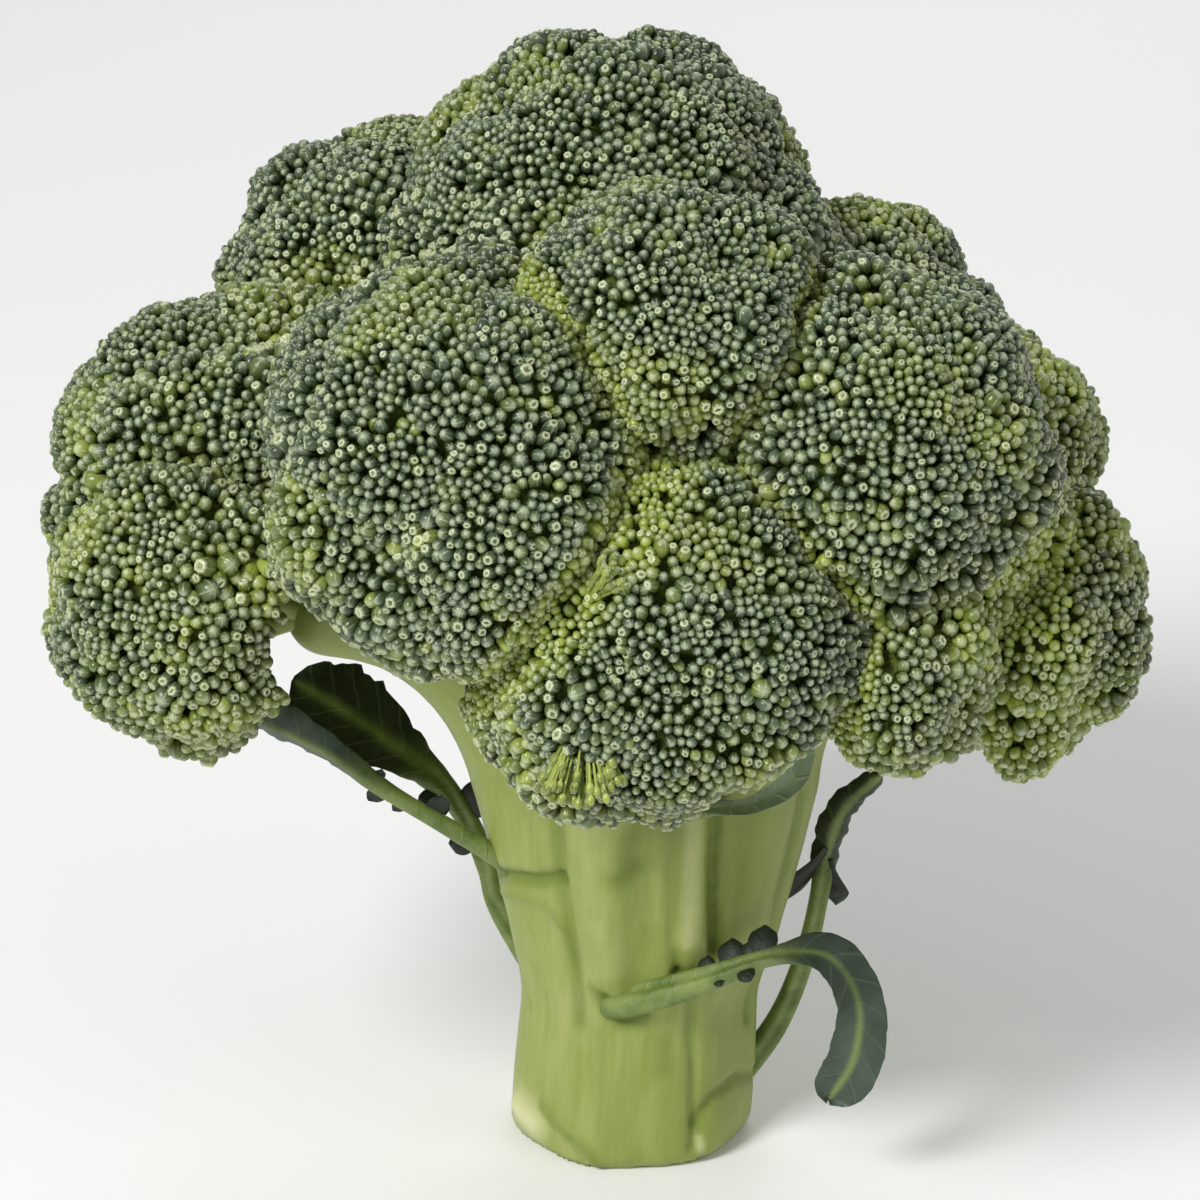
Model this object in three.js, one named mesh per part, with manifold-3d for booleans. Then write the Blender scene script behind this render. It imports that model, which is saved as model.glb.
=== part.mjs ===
// A head of broccoli that stands on its cut stalk: the stalk with its forking branches, one head of
// flower buds at the end of each branch, and the small leaves that stay on a trimmed stalk.
//
// Millimetres, +Z up. The origin is the middle of the cut face. Bearings turn from +X towards +Y, so
// 270 degrees is the front, towards someone who looks along +Y.
import * as THREE from "three";
import { mergeVertices } from "three/addons/utils/BufferGeometryUtils.js";
import Module from "manifold-3d";

const wasm = await Module();
wasm.setup();

const GAP = 0.4; // clearance between neighbouring pieces
const SEAT_GAP = 0.7; // clearance between a floret and the stalk, along the floret's own radii

// Stalk: from the cut up to the height where the branches part, and the radius of the cut.
const STALK_LENGTH = 60;
const STALK_RADIUS = 18.4;
const CUT_EDGE = 1.2; // how far the rim of the cut is rounded in
const LEAN = 0.06; // how far the stalk leans towards +X for each millimetre of height
const RIB_DEPTH = 0.03; // share of the radius that the ribs under the branches stand out
const RIBS = 7;
// The trunk's profile: shares of the stalk's length and of its radius.
const TRUNK = [
  [0.37, 0.975],
  [0.6, 1.06],
  [0.8, 1.22],
  [0.97, 1.3],
  [1.25, 1.12],
  [1.55, 0.75],
];

// Crown: the outer faces of the domes reach this ellipsoid.
const CROWN_MIDDLE = new THREE.Vector3(-4, 2, STALK_LENGTH + 48);
const CROWN_HALF = new THREE.Vector3(80, 74, 62);

// Each head of buds: its bearing round the stalk and its rise from the crown's middle, in degrees, the
// radius of its dome, and the share of the ellipsoid's reach at which the dome's outer face stands.
const FLORETS = [
  { name: "floret_top", bearing: 86, rise: 66, radius: 33, reach: 0.97 },
  { name: "floret_upper_left", bearing: 138, rise: 21, radius: 22, reach: 0.96 },
  { name: "floret_upper_right", bearing: 35, rise: 11, radius: 20, reach: 0.88 },
  { name: "floret_crown_front", bearing: 284, rise: 42, radius: 18.5, reach: 1.01 },
  { name: "floret_left", bearing: 182, rise: -5, radius: 28, reach: 1.03 },
  { name: "floret_left_low", bearing: 197, rise: -15, radius: 21.5, reach: 1.07 },
  { name: "floret_front_left", bearing: 244, rise: 16, radius: 28, reach: 1.01 },
  { name: "floret_front_right", bearing: 316, rise: 17, radius: 23.5, reach: 1.04 },
  { name: "floret_right", bearing: 5, rise: -4, radius: 23, reach: 0.92 },
  { name: "floret_right_inner", bearing: 331, rise: -3, radius: 17, reach: 0.9 },
  { name: "floret_right_low", bearing: 343, rise: -16, radius: 18, reach: 1.09 },
  { name: "floret_front", bearing: 282, rise: -12, radius: 27.5, reach: 1.01 },
  { name: "floret_front_small", bearing: 312, rise: -14, radius: 11, reach: 1 },
  { name: "floret_back", bearing: 98, rise: 12, radius: 27, reach: 0.98 },
  { name: "floret_back_right", bearing: 56, rise: -8, radius: 24, reach: 0.99 },
  { name: "floret_back_left", bearing: 146, rise: -12, radius: 24, reach: 0.99 },
  { name: "floret_back_low", bearing: 100, rise: -24, radius: 21, reach: 1 },
  { name: "floret_back_right_low", bearing: 25, rise: -22, radius: 17, reach: 0.98 },
];
const DOME_DETAIL = 4; // subdivisions of the icosahedron behind each dome
const CONE_ANGLE = 0.84; // half angle of the underside, where the twigs draw together, in radians
const CONE_DEPTH = 1.15; // depth of that cone below the dome's middle, as a share of the dome's radius
const SHOULDER = 1.6; // rounding where a dome meets its neighbours and its own underside
const LOBE_DEPTH = 0.045; // share of the radius that the lobes of a dome stand in and out

// Branches: they leave the stalk below the crown, rise with it and bend out to their florets.
const HUB_HEIGHT = STALK_LENGTH + 18; // the florets face away from this point of the stalk's axis
const LOWEST_FOOT = 0.55; // share of the stalk's length where the lowest branch starts
const HIGHEST_FOOT = 0.9;
const FOOT_OFFSET = 0.44 * STALK_RADIUS; // of a branch's foot from the stalk's axis
const FOOT_RADIUS = 0.54 * STALK_RADIUS;
const NECK_SHARE = 0.27; // radius where a branch carries its floret, as a share of the dome's

// Leaves: the small ones that stay on a trimmed stalk. Each starts at a bearing and a height on the
// stalk; its path steps out, across (counterclockwise) and up from there, and width is half its width
// at even steps along it. face is the side its upper face turns to: out, across and up.
const STEM_THICKNESS = 2.1; // half of a leaf's stem
const BLADE_THICKNESS = 0.65; // half of a leaf's blade
const LEAVES = [
  {
    name: "leaf_left",
    bearing: 194,
    height: 43,
    path: [
      [-5, 0, -5],
      [4, 1, 4],
      [12, 1.5, 11.5],
      [21, 1, 18],
      [30, -1, 22.5],
      [38, -3, 24.5],
    ],
    width: [2.4, 1.9, 1.7, 1.9, 3.6, 1.6],
    blade: 0.62,
    face: [-0.4, 0.75, 0.5],
    cup: 0.4,
  },
  {
    name: "leaf_back_left",
    bearing: 150,
    height: 18,
    path: [
      [-6, 0, -4],
      [5, 0.6, 11.6],
      [7.5, 1, 19.7],
      [11, 1.7, 28.5],
      [16.5, 3.5, 36.5],
      [28, 7.5, 45],
      [37, 10, 49],
    ],
    width: [2.4, 2, 1.9, 2.2, 8, 9.5, 2.6],
    blade: 0.5,
    face: [-0.5, 0.4, 0.75],
    cup: 0.05,
  },
  {
    name: "leaf_front_right",
    bearing: 260,
    height: 28,
    path: [
      [-5, -6, -3],
      [1.3, 11.6, 5.5],
      [2.2, 23.6, 11],
      [1.7, 31, 11.5],
      [0.8, 35.5, 4],
      [0.9, 35, -5],
      [0.7, 31, -12],
    ],
    width: [2.8, 2, 2, 3, 3, 3, 1.6],
    blade: 0.5,
    face: [0.45, 0.45, 0.75],
    cup: 0.3,
  },
  {
    name: "leaf_right",
    bearing: 3,
    height: 6,
    path: [
      [-5, 0, -3],
      [3.5, 0.5, 8.3],
      [8.2, 1, 20.4],
      [10.4, 1.5, 31],
      [11.6, 2, 38],
      [14, 2, 44.5],
      [18.7, 2, 49],
    ],
    width: [2.4, 1.8, 1.6, 1.7, 4.8, 3.2, 1.6],
    blade: 0.6,
    face: [0.2, -0.95, 0.1],
    cup: 0.1,
  },
  {
    name: "leaf_under_crown",
    bearing: 296,
    height: 57,
    path: [
      [0, -5, -2],
      [9.5, -1.7, 3],
      [13.6, 2, 6],
      [16.5, 6.5, 11],
      [17, 9, 17],
    ],
    width: [1.8, 2, 2.4, 2.4, 1.4],
    blade: 0.4,
    face: [0.9, -0.2, 0.4],
    cup: 0.2,
  },
  {
    name: "leaf_back",
    bearing: 78,
    height: 30,
    path: [
      [-6, 0, -4],
      [4, 1, 7],
      [12, 2, 16],
      [21, 3, 21],
      [28, 3, 18],
      [31, 3, 10],
    ],
    width: [2.2, 1.9, 2.2, 5.6, 4.8, 1.8],
    blade: 0.4,
    face: [0.6, 0.1, 0.8],
    cup: 0.2,
  },
];

const green = (color, roughness) => new THREE.MeshStandardMaterial({ color, roughness, metalness: 0 });
const stalkFlesh = green(0xa5b468, 0.5);
const budSkin = green(0x4d6144, 0.65);
const leafSkin = green(0x51684f, 0.55);

// ---- Solids ----

// A solid of a closed geometry, by its positions alone.
function solid(geometry) {
  const bare = new THREE.BufferGeometry().setAttribute("position", geometry.getAttribute("position"));
  if (geometry.index) bare.setIndex(geometry.index);
  const merged = mergeVertices(bare, 1e-4);
  return new wasm.Manifold(
    new wasm.Mesh({
      numProp: 3,
      vertProperties: new Float32Array(merged.attributes.position.array),
      triVerts: new Uint32Array(merged.index.array),
    }),
  );
}

function geometryOf(manifold) {
  const mesh = manifold.getMesh();
  return new THREE.BufferGeometry()
    .setAttribute("position", new THREE.BufferAttribute(mesh.vertProperties.slice(), 3))
    .setIndex(new THREE.BufferAttribute(mesh.triVerts.slice(), 1));
}

// Moves each vertex of a geometry to where place(point) puts it.
function moulded(geometry, place) {
  const at = geometry.getAttribute("position");
  const point = new THREE.Vector3();
  for (let i = 0; i < at.count; i++) {
    place(point.fromBufferAttribute(at, i));
    at.setXYZ(i, point.x, point.y, point.z);
  }
  return geometry;
}

// The value at t, from 0 to 1, of a smooth curve through evenly spaced values.
function along(values, t) {
  const curve = new THREE.SplineCurve(values.map((v, i) => new THREE.Vector2(i, v)));
  return curve.getPoint(t).y;
}

// A limb along a curve: half width and half thickness by share of its length, its flat side turned
// towards face and bent by cup. face sets only the twist where the section is round.
function limb({ curve, width, thickness, face, cup = 0, sides = 10, steps = 12 }) {
  const towards = new THREE.Vector3(...face);
  const shape = new THREE.CylinderGeometry(1, 1, 1, sides, steps);
  return moulded(shape, (p) => {
    const t = 0.5 - p.y;
    const middle = curve.getPoint(t);
    const tangent = curve.getTangent(t);
    const side = new THREE.Vector3().crossVectors(towards, tangent).normalize();
    const out = new THREE.Vector3().crossVectors(tangent, side);
    const across = p.x * width(t);
    const rise = p.z * thickness(t) + (cup * across * across) / Math.max(width(t), 1);
    p.copy(middle).addScaledVector(side, across).addScaledVector(out, rise);
  });
}

// ---- Stalk ----

// The trunk, grown all round by extra.
function trunk(extra) {
  const sides = 28;
  const rings = 12;
  const outline = [
    [0, STALK_RADIUS - CUT_EDGE],
    [CUT_EDGE, STALK_RADIUS],
    ...TRUNK.map(([height, radius]) => [height * STALK_LENGTH, radius * STALK_RADIUS]),
  ];
  const rim = new THREE.Vector2(outline[0][1] + extra, 0);
  const side = new THREE.SplineCurve(outline.slice(1).map(([z, r]) => new THREE.Vector2(r + extra, z)));
  const top = outline.at(-1)[0];
  const profile = [new THREE.Vector2(0, 0), rim, ...side.getPoints(rings), new THREE.Vector2(0, top)];
  const shape = new THREE.LatheGeometry(profile, sides).rotateX(Math.PI / 2);
  return moulded(shape, (p) => {
    const rib = 1 + RIB_DEPTH * Math.cos(RIBS * Math.atan2(p.y, p.x) + p.z / 40);
    p.set(p.x * rib + LEAN * p.z, p.y * rib, p.z);
  });
}

const trunkMiddle = (z) => new THREE.Vector3(LEAN * z, 0, z);

// ---- Florets ----

const radians = THREE.MathUtils.degToRad;

function heading(bearing, rise = 0) {
  const level = Math.cos(radians(rise));
  return new THREE.Vector3(
    level * Math.cos(radians(bearing)),
    level * Math.sin(radians(bearing)),
    Math.sin(radians(rise)),
  );
}

// Adds to a floret the middle of its dome, the way it faces, and its seat, where the branch meets the
// underside, as a depth below the middle and as a point.
function placed(floret) {
  const { bearing, rise, radius, reach } = floret;
  const way = heading(bearing, rise);
  const outer = reach / way.clone().divide(CROWN_HALF).length();
  const middle = CROWN_MIDDLE.clone().addScaledVector(way, outer - radius);
  const axis = middle.clone().sub(trunkMiddle(HUB_HEIGHT)).normalize();
  const neck = radius * NECK_SHARE;
  const depth = radius * CONE_DEPTH - neck / Math.tan(CONE_ANGLE);
  const seat = middle.clone().addScaledVector(axis, -depth);
  return { ...floret, middle, axis, neck, depth, seat };
}

// A smooth minimum, never above the least of the distances.
function softest(distances) {
  const least = Math.min(...distances);
  const sum = distances.reduce((s, d) => s + Math.exp((least - d) / SHOULDER), 0);
  return least - SHOULDER * Math.log(sum);
}

// How far a floret's face is from its middle along a direction: its lobed dome, the planes that part it
// from its neighbours, the cone of its underside and the flat seat at the cone's tip.
function faceDistance(floret, direction, neighbours, extra) {
  const { radius, axis, depth, middle } = floret;
  const { x, y, z } = direction;
  const lobes = Math.sin(5.1 * x + radius) * Math.sin(4.7 * y + 2) + Math.sin(5.6 * z + 1 + radius) * 0.7;
  const distances = [radius * (1 + LOBE_DEPTH * lobes)];
  const down = -direction.dot(axis);
  const fromAxis = Math.acos(THREE.MathUtils.clamp(down, -1, 1));
  const opening = CONE_ANGLE + fromAxis;
  if (opening < Math.PI - 0.1)
    distances.push((radius * CONE_DEPTH * Math.sin(CONE_ANGLE)) / Math.sin(opening));
  if (down > 0.05) distances.push(depth / down);
  for (const other of neighbours) {
    const apart = other.middle.clone().sub(middle);
    const length = apart.length();
    const share = (length * radius) / (radius + other.radius) - GAP / 2;
    const towards = direction.dot(apart) / length;
    if (towards > 0.05) distances.push(share / towards);
  }
  return softest(distances) + extra;
}

function dome(floret, all, extra = 0) {
  const near = (other) => other.middle.distanceTo(floret.middle) < 1.3 * (other.radius + floret.radius);
  const neighbours = all.filter((other) => other !== floret && near(other));
  return moulded(new THREE.IcosahedronGeometry(1, DOME_DETAIL), (p) => {
    p.normalize();
    p.multiplyScalar(faceDistance(floret, p, neighbours, extra)).add(floret.middle);
  });
}

// ---- Branches ----

// From its foot beside the stalk's axis, rising with the stalk at first and running on along the
// floret's axis into its seat, and grown all round by extra.
function branch({ bearing, rise, axis, seat, neck }, extra) {
  const height = THREE.MathUtils.clamp((rise + 24) / 90, 0, 1);
  const share = THREE.MathUtils.lerp(LOWEST_FOOT, HIGHEST_FOOT, height);
  const out = heading(bearing);
  const offset = FOOT_OFFSET * Math.cos(radians(rise));
  const foot = trunkMiddle(share * STALK_LENGTH).addScaledVector(out, offset);
  const length = seat.distanceTo(foot);
  const up = new THREE.Vector3(0, 0, 1);
  const curve = new THREE.CubicBezierCurve3(
    foot,
    foot.clone().addScaledVector(up, length * 0.45).addScaledVector(out, length * 0.16),
    seat.clone().addScaledVector(axis, -length * 0.35),
    seat.clone().addScaledVector(axis, 2 * SHOULDER),
  );
  const radius = (t) => THREE.MathUtils.lerp(FOOT_RADIUS, neck, t) + extra;
  const face = [-axis.y, axis.x, 0.01];
  return limb({ curve, width: radius, thickness: radius, face, sides: 10, steps: 6 });
}

// ---- Leaves ----

function leaf({ bearing, height, path, width, blade, face, cup }) {
  const out = heading(bearing);
  const across = heading(bearing + 90);
  const turned = ([outwards, sideways, up]) =>
    new THREE.Vector3(0, 0, up).addScaledVector(out, outwards).addScaledVector(across, sideways);
  const foot = trunkMiddle(height).addScaledVector(out, STALK_RADIUS);
  const curve = new THREE.CatmullRomCurve3(path.map((step) => turned(step).add(foot)));
  return limb({
    curve,
    width: (t) => along(width, t),
    thickness: (t) => {
      const share = THREE.MathUtils.smoothstep(t, blade - 0.15, blade + 0.1);
      return THREE.MathUtils.lerp(STEM_THICKNESS, BLADE_THICKNESS, share);
    },
    face: turned(face).toArray(),
    cup,
    sides: 10,
    steps: 16,
  });
}

// ---- The head ----

const head = new THREE.Group();

function add(name, manifold, material) {
  const mesh = new THREE.Mesh(geometryOf(manifold), material);
  mesh.name = name;
  head.add(mesh);
}

const florets = FLORETS.map(placed);

function branchedStalk(extra) {
  return florets.reduce((whole, floret) => whole.add(solid(branch(floret, extra))), solid(trunk(extra)));
}

const seated = (whole, floret) => whole.subtract(solid(dome(floret, florets, SEAT_GAP)));
add("stalk", florets.reduce(seated, branchedStalk(0)), stalkFlesh);
for (const floret of florets) add(floret.name, solid(dome(floret, florets)), budSkin);
const leafTrim = branchedStalk(GAP);
for (const one of LEAVES) add(one.name, solid(leaf(one)).subtract(leafTrim), leafSkin);

export default head;
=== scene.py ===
import math

import bpy
import numpy as np
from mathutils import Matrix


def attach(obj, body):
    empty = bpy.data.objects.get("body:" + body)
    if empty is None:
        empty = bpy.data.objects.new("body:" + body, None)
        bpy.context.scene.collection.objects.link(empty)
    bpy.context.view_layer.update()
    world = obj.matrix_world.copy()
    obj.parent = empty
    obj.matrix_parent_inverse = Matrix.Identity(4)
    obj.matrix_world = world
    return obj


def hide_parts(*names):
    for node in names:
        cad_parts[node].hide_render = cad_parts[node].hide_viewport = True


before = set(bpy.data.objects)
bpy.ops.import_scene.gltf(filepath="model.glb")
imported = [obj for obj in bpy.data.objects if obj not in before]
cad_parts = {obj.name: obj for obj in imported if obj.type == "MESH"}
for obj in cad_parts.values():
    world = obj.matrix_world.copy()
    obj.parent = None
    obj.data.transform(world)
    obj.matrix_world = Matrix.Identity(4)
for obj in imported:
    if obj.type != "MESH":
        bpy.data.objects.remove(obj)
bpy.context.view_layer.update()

import openvdb
from mathutils import Vector
from mathutils.bvhtree import BVHTree
from mathutils.kdtree import KDTree

# ------------------------------------------------------------------------------------------ stalk
# The stalk is the plant's fleshy stem, cut square at the foot. Its shoulders swell and fork into one
# thick branch for each head of buds. It grows as one piece of pale green flesh under a thin waxy skin,
# and the skin is marked by the seams, ridges and scars of the leaves that were snapped off it.

MM = 0.001  # every length below is in millimetres
STALK_RADIUS = 18.4
FORKS_BELOW = 60.0  # the height under which the branches leave the trunk
LEAN = 0.06  # how far the trunk leans to the right per millimetre of height
TRUNK_HEIGHTS = [0.0, 1.2, 10.0, 22.2, 36.0, 48.0, 58.2, 75.0, 93.0, 102.0, 110.0]
TRUNK_RADII = [17.2, 18.4, 18.4, 17.9, 19.3, 22.0, 23.6, 20.6, 13.8, 2.0, -6.0]
FACETS, FACET_DEPTH = 7, 0.02  # the trunk is faintly angular, by this share of its radius
HUB_HEIGHT = 78.0  # the heads face away from here
BRANCH_FOOT = 0.54  # share of the stalk's radius
BRANCH_NECK = 0.27  # share of the head's radius
BRANCH_OFFSET = 0.44  # share of the stalk's radius, from the trunk's middle to a branch's foot
CONE_ANGLE, CONE_DEPTH = 0.84, 1.15  # a head's funnel: its half angle, and its depth per radius
BRANCH_SHOULDER = 1.6
BRANCH_STEPS = 14
CROOK = 6.0  # how far the flesh fills the angle between two branches
FLESH_BOX = np.array([(-58.0, -50.0, -3.0), (58.0, 46.0, 138.0)])
PITCH = 0.78  # of the grid that the flesh is grown in
GRID_BAND = 3.0  # how many cells on either side of the skin the grid keeps
SMOOTHING = 4
CROWN_MIDDLE = np.array([-4.0, 2.0, 108.0])
CROWN_HALF = np.array([80.0, 74.0, 62.0])

# Each head of buds: its bearing and rise from the crown's middle in degrees, its radius, the share of
# the crown's reach that it takes, and how ripe it is, from 0 for yellow-green to 1 for blue-green.
HEADS = {
    "top": (86, 66, 33, 0.97, 1.0),
    "upper_left": (138, 21, 22, 0.96, 1.0),
    "upper_right": (35, 11, 20, 0.88, 0.95),
    "crown_front": (284, 42, 18.5, 1.01, 1.0),
    "left": (182, -5, 28, 1.03, 0.92),
    "left_low": (197, -15, 21.5, 1.07, 0.82),
    "front_left": (244, 16, 28, 1.01, 1.0),
    "front_right": (316, 17, 23.5, 1.04, 0.98),
    "right": (5, -4, 23, 0.92, 0.6),
    "right_inner": (331, -3, 17, 0.9, 0.6),
    "right_low": (343, -16, 18, 1.09, 0.8),
    "front": (282, -12, 27.5, 1.01, 1.0),
    "front_small": (312, -14, 11, 1.0, 0.8),
    "back": (98, 12, 27, 0.98, 0.98),
    "back_right": (56, -8, 24, 0.99, 0.9),
    "back_left": (146, -12, 24, 0.99, 0.9),
    "back_low": (100, -24, 21, 1.0, 0.75),
    "back_right_low": (25, -22, 17, 0.98, 0.75),
}


def heading(bearing, rise=0.0):
    turn, tilt = math.radians(bearing), math.radians(rise)
    return np.array([math.cos(turn) * math.cos(tilt), math.sin(turn) * math.cos(tilt), math.sin(tilt)])


def unit(vectors):
    return vectors / np.maximum(np.linalg.norm(vectors, axis=-1, keepdims=True), 1e-9)


def ease(low, high, values):
    """0 below low and 1 above high, with a soft rise between; high may lie below low."""
    share = np.clip((values - low) / (high - low), 0.0, 1.0)
    return share * share * (3.0 - 2.0 * share)


def stem_point(height):
    return np.array([LEAN * height, 0.0, height])


class Head:
    """Where one head of buds sits, and the branch that carries it."""

    def __init__(self, name, bearing, rise, radius, reach, ripe):
        self.name, self.radius, self.ripe = name, radius, ripe
        way = heading(bearing, rise)
        crown_reach = 1.0 / np.linalg.norm(way / CROWN_HALF)
        self.middle = CROWN_MIDDLE + way * (reach * crown_reach - radius)
        self.axis = unit(self.middle - stem_point(HUB_HEIGHT))
        self.neck = radius * BRANCH_NECK
        depth = radius * CONE_DEPTH - self.neck / math.tan(CONE_ANGLE)
        self.seat = self.middle - self.axis * depth
        leaves_at = 0.55 + 0.35 * min(max((rise + 24.0) / 90.0, 0.0), 1.0)
        out = heading(bearing) * BRANCH_OFFSET * STALK_RADIUS * math.cos(math.radians(rise))
        foot = stem_point(leaves_at * FORKS_BELOW) + out
        span = np.linalg.norm(self.seat - foot)
        up = np.array([0.0, 0.0, 1.0])
        self.bends = np.array([
            foot,
            foot + up * 0.45 * span + heading(bearing) * 0.16 * span,
            self.seat - self.axis * 0.35 * span,
            self.seat + self.axis * 1.2 * BRANCH_SHOULDER,
        ])
        t = np.linspace(0.0, 1.0, BRANCH_STEPS)[:, None]
        a, b, c, d = self.bends
        self.path = a * (1 - t) ** 3 + 3 * b * t * (1 - t) ** 2 + 3 * c * t * t * (1 - t) + d * t ** 3
        t = t[:, 0]
        foot_radius = BRANCH_FOOT * STALK_RADIUS
        self.girth = foot_radius + (self.neck * 0.92 - foot_radius) * t
        self.girth = self.girth + 0.14 * self.neck * ease(0.86, 1, t)
        self.run = np.concatenate([[0], np.cumsum(np.linalg.norm(np.diff(self.path, axis=0), axis=1))])


heads = [Head(name, *facts) for name, facts in HEADS.items()]


def trunk_radius(height):
    return np.interp(height, TRUNK_HEIGHTS, TRUNK_RADII)


def near_tube(points, start, end, start_radius, end_radius):
    """Distance from points to the skin of a tapering tube."""
    along = end - start
    t = np.clip(((points - start) @ along) / (along @ along), 0.0, 1.0)
    away = np.linalg.norm(points - start - t[..., None] * along, axis=-1)
    return away - (start_radius + (end_radius - start_radius) * t)


def grow_stalk():
    """The skin of trunk and branches as points and quads."""
    low, high = FLESH_BOX
    steps = [low[i] + PITCH * np.arange(int((high[i] - low[i]) / PITCH)) for i in range(3)]
    x, y, z = np.meshgrid(*steps, indexing="ij")
    places = np.stack([x, y, z], axis=-1).astype(np.float32)
    turn = np.arctan2(y, x - LEAN * z)
    facets = 1.0 + FACET_DEPTH * np.cos(FACETS * turn + 0.5 * np.sin(2.0 * turn) + 1.0)
    depth = (np.hypot(x - LEAN * z, y) - trunk_radius(z) * facets).astype(np.float32)
    margin = CROOK + 2.0
    for head in heads:
        reach = head.girth.max() + margin
        first = np.maximum(((head.path.min(0) - reach - low) / PITCH).astype(int), 0)
        last = ((head.path.max(0) + reach - low) / PITCH).astype(int) + 1
        block = tuple(slice(a, b) for a, b in zip(first, last))
        tube = np.full(depth[block].shape, margin, np.float32)
        for i in range(BRANCH_STEPS - 1):
            ends = head.path[i : i + 2]
            a = np.maximum(((ends.min(0) - reach - low) / PITCH).astype(int), first) - first
            b = ((ends.max(0) + reach - low) / PITCH).astype(int) + 1 - first
            part = tuple(slice(p, q) for p, q in zip(a, b))
            found = near_tube(places[block][part], ends[0], ends[1], head.girth[i], head.girth[i + 1])
            tube[part] = np.minimum(tube[part], found)
        held = depth[block]
        share = np.clip(0.5 + 0.5 * (tube - held) / CROOK, 0.0, 1.0)
        depth[block] = tube + (held - tube) * share - CROOK * share * (1.0 - share)
    depth = np.maximum(depth, -z)
    grid = openvdb.FloatGrid(background=GRID_BAND)
    grid.copyFromArray(np.clip(depth / PITCH, -GRID_BAND, GRID_BAND).astype(np.float32))
    points, quads = grid.convertToQuads(0.0)
    return low + PITCH * points.astype(float), quads.astype(np.int64)


def smoothed(points, quads, rounds):
    edges = np.concatenate([quads[:, [i, (i + 1) % 4]] for i in range(4)])
    count = np.bincount(edges.ravel(), minlength=len(points))[:, None]
    for _ in range(rounds):
        total = np.zeros_like(points)
        for axis in range(3):
            total[:, axis] = np.bincount(edges[:, 0], points[edges[:, 1], axis], len(points))
            total[:, axis] += np.bincount(edges[:, 1], points[edges[:, 0], axis], len(points))
        points = points * 0.5 + 0.5 * total / np.maximum(count, 1)
    return points


def face_normals(points, quads):
    a, b, c, d = (points[quads[:, corner]] for corner in range(4))
    spans = np.cross(c - a, d - b)
    normals = np.zeros_like(points)
    for corner in range(4):
        for axis in range(3):
            normals[:, axis] += np.bincount(quads[:, corner], spans[:, axis], len(points))
    return unit(normals)


# Marks in the skin: points of bearing and height, half width, depth (less than 0 stands proud) and tint
# (less than 0 is greener and darker, more than 0 paler).
SKIN_MARKS = [
    ([(288.5, 72), (290, 61), (291.3, 54), (294, 46.4), (299, 37)], 1.0, 2.0, -0.9),
    ([(301, 70), (302, 54), (305, 42)], 3.0, 1.0, -0.5),
    ([(275, 68), (277, 52), (280, 41), (284, 34)], 0.9, 0.8, -0.45),
    ([(284, 34), (291, 29), (297, 18), (299, 7)], 0.8, 0.7, -0.35),
    ([(322, 66), (324, 40), (326, 10)], 8.5, 0.0, -0.22),
    ([(233, 68), (235, 46), (238, 36), (240, 24)], 1.1, 0.8, -0.5),
    ([(268, 70), (269, 50), (266, 32)], 3.0, 1.3, -0.35),
    ([(250, 70), (252, 50), (254, 34)], 3.4, -0.8, 0.2),
    ([(282.5, 68), (284, 52), (287, 40)], 2.3, -0.7, 0.5),
    ([(190, 43), (205, 45.5), (221, 47), (233, 49)], 1.0, 1.3, -0.9),
    ([(196, 41), (212, 43), (226, 43), (235, 39), (238, 34)], 0.9, -0.35, -0.3),
    ([(247, 30.5), (253, 27.5), (259, 24.8), (271, 24.6)], 0.9, 0.5, -0.5),
    ([(299, 3), (301, 8), (309, 11), (330, 11.5), (354, 8)], 1.0, 0.8, -0.55),
    ([(312, 4), (330, 5)], 4.0, -0.7, 0.1),
    ([(222, 8), (233, 6.2), (245, 4.4), (256, 0.2)], 1.0, -0.9, -0.5),
    ([(237, 1.5), (246, 1.0)], 2.2, 0.5, 0.1),
    ([(203, 5.5), (216, 4.5)], 2.4, -1.3, 1.1),
    ([(252, 29.5), (262, 25.2), (272, 26.6)], 0.8, 0.7, -0.8),
    ([(302.0, 4.6), (303.5, 2.6)], 0.6, 0.6, 0.9),
    ([(258, 51), (262, 52.5)], 1.4, 0.25, -0.8),
    ([(259, 55), (260, 58)], 1.2, 0.1, -0.5),
    ([(270, 50), (271, 44)], 1.4, 0.1, 0.3),
    ([(283, 21), (284, 17)], 1.6, 0.15, -0.35),
    ([(330, 60), (331, 44), (338, 30), (340, 20)], 1.2, 0.9, -0.5),
    ([(18, 62), (16, 40), (20, 18)], 1.2, 0.8, -0.5),
    ([(56, 60), (58, 42), (52, 27), (57, 12)], 0.9, 0.7, -0.4),
    ([(74, 33), (84, 28), (96, 31)], 1.0, 0.8, -0.7),
    ([(104, 62), (102, 46), (108, 34), (106, 12)], 1.2, 0.9, -0.5),
    ([(128, 14), (142, 10), (158, 15)], 1.0, 0.9, -0.7),
    ([(134, 8), (152, 6)], 3.6, -0.7, 0.3),
    ([(148, 60), (150, 42), (146, 26)], 1.4, 0.9, -0.5),
    ([(174, 58), (176, 40), (180, 22), (178, 8)], 0.9, 0.6, -0.4),
    ([(30, 8), (44, 12), (60, 7)], 1.0, -0.8, -0.4),
]


MARKED_RADIUS = 1.1  # the trunk's mean radius as a multiple of the stalk's
CUT_ROUNDING = 0.35  # the smoothed edge of the cut is pressed flat below this height
GRAIN_SQUEEZE = 0.1  # the grain is this much finer across the flesh than along it
BRANCH_SHIFT = 9.0  # gives every branch a grain of its own


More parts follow.
